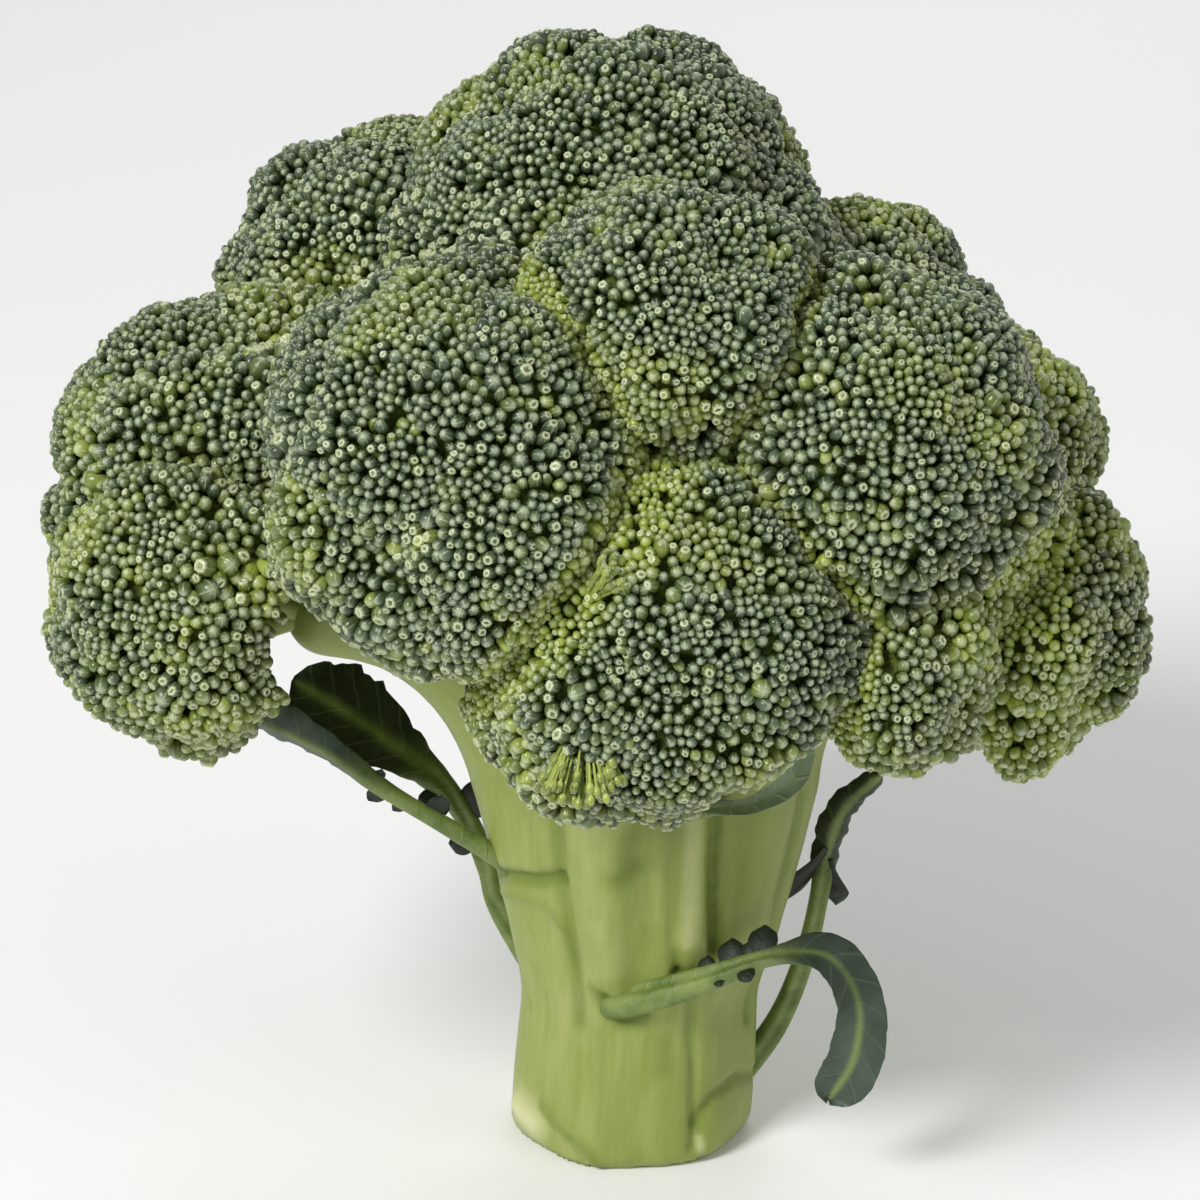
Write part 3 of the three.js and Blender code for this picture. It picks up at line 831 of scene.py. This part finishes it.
def bud_finish():
    finish = Finish("bud_skin")
    x, y, z = finish.parts(finish.mark("bud"))
    ripe, chance, rim = finish.parts(finish.mark("state"))
    place = finish.node("ShaderNodeTexCoord", output="Object")
    bloom = finish.noise(place, 420.0, 2.0, 0.6)
    speckle = finish.noise(place, 1500.0, 2.0, 0.6)
    body = finish.mix(chance, paint(39, 53, 31), paint(73, 89, 62))
    body = finish.mix(bloom.eased(0.45, 0.75) * 0.4, body, paint(104, 118, 98))
    young = finish.mix(chance, paint(112, 132, 36), paint(172, 186, 80))
    body = finish.mix(ripe, young, body)
    # A bud's foot takes its stem's colour: pale on young buds. On ripe buds it is a dark green that is
    # partly the stem's own green and partly painted shade at the base, between the buds.
    low = z.eased(0.05, -0.75)
    stem = finish.mix(ripe.eased(0.1, 0.8), paint(186, 198, 104), paint(72, 90, 38))
    body = finish.mix(low, body, stem)
    # The upper part of each bud is painted paler, partly waxy bloom and partly a painted highlight. The
    # bright dot at its very tip is a painted highlight.
    body = finish.mix(z.eased(0.4, 0.9) * 0.25, body, paint(142, 154, 120))
    body = finish.mix(z.eased(0.74, 0.98) * 0.42, body, paint(196, 206, 178))
    seam = abs(abs(x) - abs(y)).eased(0.17, 0.03) * z.eased(-0.3, 0.5)
    seam = seam * speckle.eased(0.3, 0.55)
    edge = finish.mix(ripe, paint(206, 214, 140), paint(192, 204, 158))
    body = finish.mix(seam * 0.52, body, edge)
    body = finish.mix(rim.eased(0.45, 0.95) * 0.85, body, paint(206, 214, 168))
    # Painted shade: the hollow in the mouth of a parted bud is painted darker.
    painted_hollow_shade = rim.eased(0.02, 0.1) * rim.eased(0.4, 0.15) * z.eased(0.55, 0.7)
    body = finish.mix(painted_hollow_shade * 0.6, body, paint(58, 74, 30))
    # One bud in a few thousand has turned orange.
    body = finish.mix(chance.eased(0.9996, 0.9997), body, paint(170, 122, 56))
    return finish.surface({
        "Base Color": body,
        "Roughness": bloom * 0.2 + 0.21,
        "Normal": finish.bump(speckle + seam * -1.2, 0.25, 0.0002),
        "Specular IOR Level": 0.6,
    })


def core_finish():
    finish = Finish("bud_stems")
    shade, _, _ = finish.parts(finish.mark("depth"))
    place = finish.node("ShaderNodeTexCoord", output="Object")
    grain = finish.noise(place, 700.0, 3.0, 0.6)
    dark = finish.mix(grain.eased(0.4, 0.65), paint(72, 88, 30), paint(112, 130, 50))
    light = finish.mix(grain.eased(0.4, 0.65), paint(92, 112, 34), paint(150, 166, 78))
    return finish.surface({
        "Base Color": finish.mix(shade, dark, light),
        "Roughness": grain * 0.2 + 0.6,
        "Normal": finish.bump(grain, 0.8, 0.0012),
        "Specular IOR Level": 0.25,
    })


bud_skin = bud_finish()
bud_stems = core_finish()


def fill_dome(dome):
    """The buds of one dome, in pieces cut like a cake."""
    head = dome.head
    ways, room = scatter(dome)
    count = len(ways)
    places = dome.skin(ways)
    normals = dome.normals(ways)
    sky = dome.read(dome.sky, ways)
    tilt = dome.tilt(ways)
    _, edge = lumps(ways, dome.tuft_ways, dome.size, TUFT_SPACING, TUFT_HEIGHT)
    middles = dome.tuft_ways[(ways @ dome.tuft_ways.T).argmax(axis=1)]
    roots = middles * (dome.read(dome.reach, middles) - TUFT_ROOT)[:, None] + head.middle
    axes = unit(0.62 * normals + 0.5 * unit(places - roots) + seed.normal(0.0, 0.24, (count, 3)))
    places = places + axes * seed.normal(0.0, 0.2, count)[:, None]
    down = np.clip(-normals[:, 2], 0.0, 1.0)
    cleft = dome.read(dome.cleft, ways)
    # Buds are younger in patches, out of the light, underneath, in clefts and between tufts.
    ripe = head.ripe - 0.45 * ease(0.15, 0.9, patches(places, 26.0)) - 0.9 * ease(0.50, 0.10, sky)
    ripe = ripe - 0.3 * down - 1.35 * ease(0.22, 0.75, cleft) - 0.5 * ease(0.75, 1.1, edge)
    ripe = np.clip(ripe + seed.normal(0.0, 0.13, count), 0.0, 1.0)
    sizes = room * 0.6
    chance = seed.random(count)
    opening = 0.12 + 0.3 * ease(0.2, 0.9, patches(places, 13.0))
    opening = opening + 0.22 * ease(0.9, 1.6, tilt) * ease(0.3, 0.7, sky)
    parted = seed.random(count) < opening
    lengths = seed.uniform(0.95, 1.35, count) + 0.2 * parted + 0.2 * ease(1.2, 1.8, tilt)
    stems = 3.0 + (np.linalg.norm(places - roots, axis=1) - 3.0) * ease(1.35, 1.75, tilt)
    spins = seed.uniform(0.0, 2.0 * math.pi, count)
    states = np.stack([ripe, chance], axis=1)
    local = ways @ dome.frame.T
    order = np.argsort(np.arctan2(local[:, 1], local[:, 0]))
    pieces = math.ceil(count / BUDS_IN_PIECE)
    for number, part in enumerate(np.array_split(order, pieces)):
        name = f"buds_{head.name}" + (f"_{number + 1}" if pieces > 1 else "")
        make_buds(name, dome, places[part], axes[part], spins[part], sizes[part], lengths[part],
                  stems[part], states[part], parted[part], bud_skin)


def fill_core(dome):
    """The tangle of stems behind the buds, paler where the dome is young or turns under."""
    head = dome.head
    points, quads, tips = dome.core()
    ways = unit(points - head.middle)
    tilt = dome.tilt(ways)
    light = 0.9 * ease(0.45, 0.12, dome.read(dome.sky, ways)) + 0.9 * ease(1.5, 1.9, tilt)
    light = light + ease(0.3, 0.8, dome.read(dome.cleft, ways))
    light = np.clip(light + 0.5 * (1.0 - head.ripe) * ease(1.0, 1.6, tilt), 0, 1)
    depth = np.stack([light, light, light], axis=1)
    made = make_piece(f"core_{head.name}", points, [quads, tips], [("depth", depth)])
    made.data.materials.append(bud_stems)
    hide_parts("floret_" + head.name)


# Sprays of young buds on long pale stems stand out of the gaps: the fork they start from, the way
# they go, the way they fan out, their length and how many buds they carry.
SPRAYS = {
    "front": [
        ((-6.5, -64.4, 97.3), (-0.05, -0.2, -1.0), (0.95, 0.0, 0.0), 13.6, 110),
        ((-7.0, -64.0, 111.0), (0.6, -0.3, 0.75), (0.5, 0.0, -0.35), 8.5, 45),
    ],
}


def make_sprays():
    for name, sprays in SPRAYS.items():
        dome = next(dome for dome in domes if dome.head.name == name)
        for number, (fork, way, across, length, count) in enumerate(sprays, 1):
            lean = seed.uniform(-1.0, 1.0, (count, 1))
            depth = seed.uniform(-0.3, 0.3, (count, 1))
            axes = unit(np.array(way)) + lean * 0.55 * np.array(across)
            axes = unit(axes + depth * np.array([0.0, -1.0, 0.2]))
            stems = length * (1.0 - 0.12 * lean[:, 0] ** 2) * seed.uniform(0.72, 1.06, count)
            states = np.stack([seed.uniform(0.1, 0.5, count), seed.random(count)], axis=1)
            places = np.array(fork) + axes * stems[:, None]
            make_buds(f"spray_{name}_{number}", dome, places, axes, seed.uniform(0.0, 6.28, count),
                      seed.uniform(0.5, 0.68, count), np.full(count, 1.3), stems, states,
                      seed.random(count) < 0.4, bud_skin)


for dome in domes:
    fill_dome(dome)
    fill_core(dome)
make_sprays()

# ---------------------------------------------------------------------------------------- twigs
# Inside each head the branch splits into a few stout twigs, and these into one thin stem for every tuft
# of buds. They are the same pale flesh as the stalk, and they show under the rim of the head.

TWIG_SIDES, TWIG_STEPS = 7, 6
STOUT_EVERY = 8  # tufts to one stout twig
TWIG_END = 6.5  # how far under a tuft's top its thin stem ends
STEM_TINT = [0.0, 0.9, 0.0]  # the skin's marks: no tint, the colour of a branch, not cut


def tube(path, girth):
    """A closed tapering tube along a path, as points, quads and end faces."""
    ways = unit(np.gradient(path, axis=0))
    side = framed(ways[0])[0]
    turn = 2.0 * np.pi * np.arange(TWIG_SIDES) / TWIG_SIDES
    rings = []
    for spot, way, radius in zip(path, ways, girth):
        side = unit(side - way * (side @ way))
        up = np.cross(way, side)
        rings.append(spot + radius * (np.cos(turn)[:, None] * side + np.sin(turn)[:, None] * up))
    place = np.arange(len(path) * TWIG_SIDES).reshape(len(path), TWIG_SIDES)
    after = np.roll(place, -1, axis=1)
    quads = np.stack([place[:-1], after[:-1], after[1:], place[1:]], axis=-1).reshape(-1, 4)
    return np.concatenate(rings), quads, np.stack([place[0][::-1], place[-1]])


def bend(start, lean, end):
    t = np.linspace(0.0, 1.0, TWIG_STEPS)[:, None]
    return start * (1 - t) ** 2 + 2 * lean * t * (1 - t) + end * t * t


def make_twigs(dome, finish):
    head = dome.head
    ways = dome.tuft_ways
    ways = ways[(dome.tilt(ways) < COVER) & (dome.read(dome.sky, ways) > 0.03)]
    stout = max(3, len(ways) // STOUT_EVERY)
    hubs = ways[np.linspace(0, len(ways) - 1, stout).astype(int)]
    for _ in range(5):
        mine = (ways @ hubs.T).argmax(axis=1)
        sums = [ways[mine == k].sum(axis=0) for k in range(stout)]
        hubs = np.array([unit(total) if total.any() else hub for total, hub in zip(sums, hubs)])
    points, quads, ends, grain, base = [], [], [], [], 0
    start = head.seat + head.axis * 0.5

    def add(path, girth, number):
        nonlocal base
        rings, sides, caps = tube(path, girth)
        points.append(rings)
        quads.append(sides + base)
        ends.append(caps + base)
        run = np.repeat(np.arange(len(path)), TWIG_SIDES)[:, None] * 0.6
        grain.append((rings - np.repeat(path, TWIG_SIDES, axis=0)) + run + 3.0 * number)
        base += len(rings)

    for k in range(stout):
        fork = head.middle + hubs[k] * dome.read(dome.reach, hubs[k][None])[0] * 0.42
        fork = fork - head.axis * 0.1 * head.radius
        path = bend(start, start + head.axis * 0.5 * np.linalg.norm(fork - start), fork)
        add(path, np.linspace(0.40, 0.26, TWIG_STEPS) * head.neck, k)
        for number, way in enumerate(ways[mine == k]):
            tip = head.middle + way * (dome.read(dome.reach, way[None])[0] - TWIG_END)
            lean = fork + unit(fork - start) * 0.4 * np.linalg.norm(tip - fork)
            add(bend(fork, lean, tip), np.linspace(0.2 * head.neck + 0.3, 1.25, TWIG_STEPS), number)
    grain = np.concatenate(grain)
    marks = [("grain", grain), ("skin", np.tile([STEM_TINT], (len(grain), 1)))]
    faces = [np.concatenate(quads), np.concatenate(ends)]
    made = make_piece(f"twigs_{head.name}", np.concatenate(points), faces, marks)
    made.data.materials.append(finish)
    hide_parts("floret_" + head.name)


for dome in domes:
    make_twigs(dome, bpy.data.materials["stalk_skin"])

# ---------------------------------------------------------------------------------------- leaves
# A few small leaves are left on the stalk. Each has a fleshy ribbed stalk of its own that grows out of
# the skin, and a thin, stiff, bluish blade with a jagged edge, pale veins and a waxy bloom. Tiny lobes
# sit along some of the leaf stalks.

# Each leaf grows from a foot at a bearing and height, in steps outward, across and up, with a half
# width at each. Its blade starts at a share of its length and is cupped and jagged. The ways that its
# upper side faces go from the foot to the tip. The lobes each have a share of the length, a side and
# a size, which is less than 0 for one that hangs down.
LEAVES = {
    "leaf_left": dict(
        bearing=194, height=43,
        steps=[(-4, 0, -5), (4, 1, 3.2), (12, 1.5, 9.6), (21, 1, 16.2), (30, -1, 23), (38, -3, 27.5),
               (43.5, -4, 29.5)],
        widths=[2.4, 1.6, 1.35, 1.3, 2.3, 3.6, 1.8],
        blade_from=0.60, facing=[(-0.4, 0.75, 0.5)], cup=0.3, jag=0.1, midrib=0.8,
        lobes=[(0.30, 1, 1.1), (0.40, -1, 2.2), (0.46, 1, 1.4), (0.52, 1, 1.9), (0.55, -1, 1.1)]),
    "leaf_back_left": dict(
        bearing=150, height=18,
        steps=[(-6, 0, -4), (5, 0.6, 11.2), (7.5, 1, 18.7), (11, 1.7, 26.5), (16.5, 3.5, 33.5),
               (28, 7.5, 42), (37, 10, 47)],
        widths=[2.4, 2.0, 1.8, 1.7, 2.6, 7.4, 5.6],
        blade_from=0.69, facing=[(-0.45, -0.25, 0.85)], cup=0.08, jag=0.11, midrib=1.5,
        lobes=[(0.36, 1, 1.8), (0.43, -1, 2.4), (0.52, 1, 3.6), (0.59, -1, 3.2)]),
    "leaf_front_right": dict(
        bearing=260, height=28,
        steps=[(-6.5, -8.0, -4.2), (-0.7, 1.5, 0.8), (1.7, 12, 5.9), (2.2, 23.0, 11.2), (1.7, 31, 11.7),
               (1.0, 35.6, 4.5), (0.9, 35.2, -5), (0.7, 31.5, -12.5)],
        widths=[2.9, 2.6, 2.1, 1.5, 3.4, 3.7, 4.2, 3.8],
        blade_from=0.468, facing=[(0.1, -0.4, 0.9), (0.1, -0.95, 0.2)], cup=0.2, jag=0.03, midrib=0.6,
        lobes=[(0.306, -1, 1.7), (0.331, 1, 1.1), (0.353, -1, 2.6), (0.370, 1, 1.8), (0.383, -1, 1.7),
               (0.413, -1, 2.9)]),
    "leaf_right": dict(
        bearing=3, height=6,
        steps=[(-5, 0, -3), (3.5, 0.5, 8.3), (8.2, 1, 20.4), (10.4, 1.5, 31), (11.6, 2, 38),
               (14, 2, 44.5), (19.5, 2, 50)],
        widths=[2.5, 1.9, 1.6, 1.5, 2.3, 2.3, 1.3],
        blade_from=0.60, facing=[(0.2, -0.95, 0.1)], cup=-0.35, jag=0.14, midrib=0.8,
        lobes=[(0.66, 1, -5.2), (0.70, -1, -7.0), (0.50, 1, 1.6)]),
    "leaf_under_crown": dict(
        bearing=290, height=60.5,
        steps=[(-2, -7, -4), (5.8, -1, 1.8), (11.5, 3.6, 4.2), (16, 8, 9.2), (17.5, 10, 15.5)],
        widths=[1.0, 1.1, 1.3, 1.7, 1.3],
        blade_from=0.3, facing=[(0.1, -0.75, 0.65)], cup=0.2, jag=0.04, midrib=0.3, lobes=[]),
    "leaf_back": dict(
        bearing=78, height=30,
        steps=[(-6, 0, -4), (4, 1, 7), (12, 2, 16), (21, 3, 21), (28, 3, 18), (31, 3, 10)],
        widths=[2.2, 1.9, 2.2, 5.8, 5.0, 1.4],
        blade_from=0.4, facing=[(0.6, 0.1, 0.8)], cup=0.2, jag=0.2, midrib=0.9,
        lobes=[(0.28, 1, 1.6), (0.33, -1, 2.0)]),
}
SPAN_STEPS = 12
COLUMNS = 15
BLADE_THICKNESS = 0.5
LOBE_ROWS, LOBE_COLUMNS = 17, 9
LOBE_THICKNESS = 0.44
LOBE_LEAFY = 1.8  # over 1, which the finish takes for a lobe: its own dark flesh with painted shade over it


def through(stops, steps):
    """A smooth curve through every stop."""
    stops = np.asarray(stops, dtype=float).reshape(len(stops), -1)
    padded = np.concatenate([2 * stops[:1] - stops[1:2], stops, 2 * stops[-1:] - stops[-2:-1]])
    t = np.linspace(0.0, 1.0, steps, endpoint=False)[:, None]
    spans = []
    for a, b, c, d in zip(padded, padded[1:], padded[2:], padded[3:]):
        square, cube = 2 * a - 5 * b + 4 * c - d, 3 * b - a - 3 * c + d
        spans.append(0.5 * (2 * b + (c - a) * t + square * t ** 2 + cube * t ** 3))
    return np.concatenate(spans + [stops[-1:]])


def strip(rows, columns, base):
    """Faces of a closed ribbon: its upper points come first, row by row, and then its lower ones."""
    upper = np.arange(rows * columns).reshape(rows, columns) + base
    lower = upper + rows * columns
    rim = [
        np.stack([upper[:-1, :-1], upper[1:, :-1], upper[1:, 1:], upper[:-1, 1:]], axis=-1),
        np.stack([lower[:-1, :-1], lower[:-1, 1:], lower[1:, 1:], lower[1:, :-1]], axis=-1),
        np.stack([upper[:-1, 0], lower[:-1, 0], lower[1:, 0], upper[1:, 0]], axis=-1),
        np.stack([upper[:-1, -1], upper[1:, -1], lower[1:, -1], lower[:-1, -1]], axis=-1),
        np.stack([upper[0, :-1], upper[0, 1:], lower[0, 1:], lower[0, :-1]], axis=-1),
        np.stack([upper[-1, :-1], lower[-1, :-1], lower[-1, 1:], upper[-1, 1:]], axis=-1),
    ]
    return np.concatenate([part.reshape(-1, 4) for part in rim])


def ribbon(above, below, place):
    """A closed ribbon's points and the places on it, upper side first."""
    points = np.concatenate([above.reshape(-1, 3), below.reshape(-1, 3)])
    place = np.stack(np.broadcast_arrays(*place), axis=-1).reshape(-1, 3)
    return points, np.concatenate([place, place])


def make_lobe(spot, way, side, up, width, run, hand, size):
    """One small lobe beside a leaf's stalk, as a ribbon."""
    hangs, size = size < 0, abs(size)
    v = np.linspace(0.0, 1.0, LOBE_ROWS)[:, None]
    w = np.sin(np.linspace(-1.0, 1.0, LOBE_COLUMNS) * math.pi / 2)[None, :]
    if hangs:
        out = side * hand * 0.28 + up * 0.2 - way
        swelling = 0.14 + 0.29 * np.sin(0.8 * np.pi * v * v)
    else:
        out = side * hand + up * 0.5 + way * 0.35
        swelling = 0.25 + 0.55 * np.sin(np.pi * np.minimum(v * 0.85 + 0.12, 1.0)) ** 0.8
    out = unit(out)
    along = unit(way - out * (way @ out))
    top = np.cross(along, out) * hand
    reach = size * swelling * np.sqrt(np.clip((1 - v) * 4, 0.01, 1))
    centre = spot + out * (0.55 * width + v * size * 1.5)[..., None]
    curl = 0.35 * size * (v * v) + 0.25 * size * w * w * v
    lobe = centre + along * (w * reach)[..., None] + top * curl[..., None]
    half = top * (0.5 * LOBE_THICKNESS * (1.0 - 0.8 * w ** 4) * np.ones_like(v))[..., None]
    return ribbon(lobe + half, lobe - half, (w * reach, run + v * size, LOBE_LEAFY))


def make_leaf(name, finish, bearing, height, steps, widths, blade_from, facing, cup, jag, midrib,
              lobes):
    foot = stem_point(height) + heading(bearing) * STALK_RADIUS
    across = heading(bearing + 90.0)
    stops = [foot + heading(bearing) * a + across * b + np.array([0, 0, c]) for a, b, c in steps]
    path = through(stops, SPAN_STEPS)
    wide = through(widths, SPAN_STEPS)
    rows = len(path)
    share = np.linspace(0.0, 1.0, rows)[:, None]
    ways = unit(np.gradient(path, axis=0))
    faced = np.asarray(facing[0]) + share * share * np.subtract(facing[-1], facing[0])
    side = unit(np.cross(ways, faced))
    up = np.cross(side, ways)
    run = np.concatenate([[0], np.cumsum(np.linalg.norm(np.diff(path, axis=0), axis=1))])[:, None]
    blade = ease(blade_from - 0.1, blade_from + 0.06, share)
    u = np.sin(np.linspace(-1.0, 1.0, COLUMNS) * math.pi / 2)[None, :]
    edge = seed.uniform(0.0, 6.0, 4)

    def teeth(k):
        notches = np.sin(run * 1.3 + edge[k]) * 0.6 + np.sin(run * 2.9 + edge[k + 1]) * 0.4
        return 1.0 + jag * blade * notches

    from_tip = (run[-1] - run) / (1.1 * widths[-1])
    tip = np.sqrt(np.clip(1.0 - np.clip(1.0 - from_tip, 0.0, 1.0) ** 2, 0.004, 1.0))
    reach = wide * tip * np.where(u < 0, teeth(0), teeth(2))
    ripple = 0.35 * jag * 6.0 * np.sin(run * 0.9 + 2.0 * np.sign(u)) * np.abs(u) ** 2
    lift = blade * (cup * wide * (u * u) * 1.6 + ripple * np.minimum(wide / 6.0, 1.0))
    fleshy = 0.9 * wide * np.sqrt(np.maximum(1.0 - u * u, 0.0)) + 0.12
    rib = 0.7 * midrib * np.exp(-((u * wide / midrib) ** 2)) * (1.0 - 0.5 * share)
    flat = 0.5 * BLADE_THICKNESS * (1.0 - 0.6 * u ** 4)
    thick = fleshy * (1.0 - blade) + flat * blade
    groove = (1.0 - blade) * 0.35 * wide * np.exp(-((u / 0.35) ** 2))
    middle = path[:, None] + side[:, None] * (u * reach)[..., None]
    above = middle + up[:, None] * (lift + thick - groove)[..., None]
    below = middle + up[:, None] * (lift - thick - rib * blade * 1.6)[..., None]
    leafy = blade * (1.0 - 0.9 * np.exp(-((u * wide / (0.8 * midrib)) ** 4)))
    ribbons, faces = [ribbon(above, below, (u * reach, run, leafy))], [strip(rows, COLUMNS, 0)]
    for number, (at, hand, size) in enumerate(lobes):
        k = int(at * (rows - 1))
        ribbons.append(make_lobe(path[k], ways[k], side[k], up[k], wide[k], run[k], hand, size))
        before = 2 * (rows * COLUMNS + number * LOBE_ROWS * LOBE_COLUMNS)
        faces.append(strip(LOBE_ROWS, LOBE_COLUMNS, before))
    points, places = [np.concatenate(parts) for parts in zip(*ribbons)]
    made = make_piece(name + "_blade", points, faces, [("place", places)])
    made.data.materials.append(finish)
    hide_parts(name)


def leaf_finish(name, dark, light, bloomed, vein):
    finish = Finish(name)
    across, along, blade = finish.parts(finish.mark("place"))
    spot = finish.node("ShaderNodeTexCoord", output="Object")
    clouds = finish.noise(spot, 110.0, 3.0, 0.6)
    cells = {"Vector": spot, "Scale": 620.0}
    net = finish.node("ShaderNodeTexVoronoi", {"feature": "DISTANCE_TO_EDGE"}, cells, "Distance")
    fine = finish.noise(spot, 900.0, 2.0, 0.6)
    width = abs(across)
    slanted = {0: along - width * 0.8 + clouds * 2.4, 1: 2.1}
    ribs = finish.node("ShaderNodeMath", {"operation": "PINGPONG"}, slanted)
    veins = ribs.eased(0.34, 0.08).most(net.eased(0.05, 0.0) * 0.35)
    green = finish.mix(clouds.eased(0.35, 0.65), dark, light)
    green = finish.mix(clouds.eased(0.6, 0.8) * 0.5, green, bloomed)
    green = finish.mix(veins * 0.38, green, vein)
    # Lobes, with a place over 1, are painted near black-green: their own dark green with painted shade.
    green = finish.mix(blade.eased(1.05, 1.7) * 0.8, green, paint(24, 32, 18))
    stem = finish.mix(clouds.eased(0.35, 0.65), paint(92, 112, 48), paint(130, 146, 78))
    stem = finish.mix(fine.eased(0.5, 0.75) * 0.3, stem, paint(140, 154, 112))
    return finish.surface({
        "Base Color": finish.mix(blade, stem, green),
        "Roughness": clouds * 0.2 + 0.36,
        "Normal": finish.bump(veins * -1.0 + fine * 0.3, 0.35, 0.0003),
        "Specular IOR Level": 0.45,
    })


# The leaves' colours: dark and light green, the waxy bloom on them and the veins. The darkest set is a
# leaf's own dark green with painted shade laid over it.
LEAF_COLOURS = {
    "leaf_bluish": [(46, 60, 43), (66, 80, 66), (88, 102, 92), (92, 108, 78)],
    "leaf_dark_and_shaded": [(26, 36, 18), (42, 54, 30), (54, 66, 44), (96, 112, 66)],
    "leaf_pale": [(100, 118, 84), (128, 144, 112), (142, 154, 132), (144, 158, 112)],
}
# leaf_back_left and leaf_right take the darkest colours: partly their own dark green and partly painted
# shade.
LEAF_LOOKS = {"leaf_back_left": "leaf_dark_and_shaded", "leaf_right": "leaf_dark_and_shaded", "leaf_under_crown": "leaf_pale"}
looks = {}
for look, colours in LEAF_COLOURS.items():
    looks[look] = leaf_finish(look, *[paint(*colour) for colour in colours])
for leaf_name, facts in LEAVES.items():
    make_leaf(leaf_name, looks[LEAF_LOOKS.get(leaf_name, "leaf_bluish")], **facts)

# ------------------------------------------------------------------------------------------ stage
# A plain pale table under soft studio light: a broad lamp high on the left, weaker ones on the right
# and behind, and an even pale surround. The camera looks down on the head from the front.

FLOOR_HALF, FLOOR_BELOW = 4000.0, 0.2
CAMERA_AIM = np.array([-4.6, 0.0, 86.0])
CAMERA_RISE = 22.0
CAMERA_AWAY = 700.0
CAMERA_LENS = 141.75

floor_mesh = bpy.data.meshes.new("table_top")
floor_corners = FLOOR_HALF * MM * np.array([(-1, -1), (1, -1), (1, 1), (-1, 1)])
floor_mesh.from_pydata([(x, y, -FLOOR_BELOW * MM) for x, y in floor_corners], [], [(0, 1, 2, 3)])
table_top = bpy.data.objects.new("table_top", floor_mesh)
bpy.context.scene.collection.objects.link(table_top)
table_finish = Finish("table_paint")
table_mottle = table_finish.noise(table_finish.node("ShaderNodeTexCoord", output="Object"), 2.0)
table_top.data.materials.append(table_finish.surface({
    "Base Color": table_finish.mix(table_mottle, paint(250, 250, 250), paint(253, 253, 252)),
    "Roughness": 0.7,
}))

surround = bpy.data.worlds.new("surround")
bpy.context.scene.world = surround
surround.use_nodes = True
surround.node_tree.nodes["Background"].inputs["Color"].default_value = (1.0, 1.0, 1.0, 1.0)
surround.node_tree.nodes["Background"].inputs["Strength"].default_value = 0.36


def hang_lamp(name, place, size, power):
    lamp = bpy.data.lights.new(name, "AREA")
    lamp.shape = "DISK"
    lamp.size = size
    lamp.energy = power
    held = bpy.data.objects.new(name, lamp)
    bpy.context.scene.collection.objects.link(held)
    held.location = Vector(place)
    aim = Vector((0.0, 0.0, 0.09)) - held.location
    held.rotation_euler = aim.to_track_quat("-Z", "Y").to_euler()


hang_lamp("lamp_high_left", (-0.75, -0.85, 1.05), 0.5, 17.0)
hang_lamp("lamp_right", (0.9, -0.5, 0.6), 0.7, 1.8)
hang_lamp("lamp_behind", (0.2, 1.1, 0.9), 0.8, 4.0)

camera = bpy.data.objects.new("camera", bpy.data.cameras.new("camera"))
bpy.context.scene.collection.objects.link(camera)
camera.data.lens = CAMERA_LENS
camera.data.clip_start = 0.01
camera_way = heading(90.0, -CAMERA_RISE)
camera.location = Vector((CAMERA_AIM - camera_way * CAMERA_AWAY) * MM)
camera.rotation_euler = Vector(camera_way).to_track_quat("-Z", "Y").to_euler()
bpy.context.scene.camera = camera
bpy.context.scene.view_settings.view_transform = "Standard"
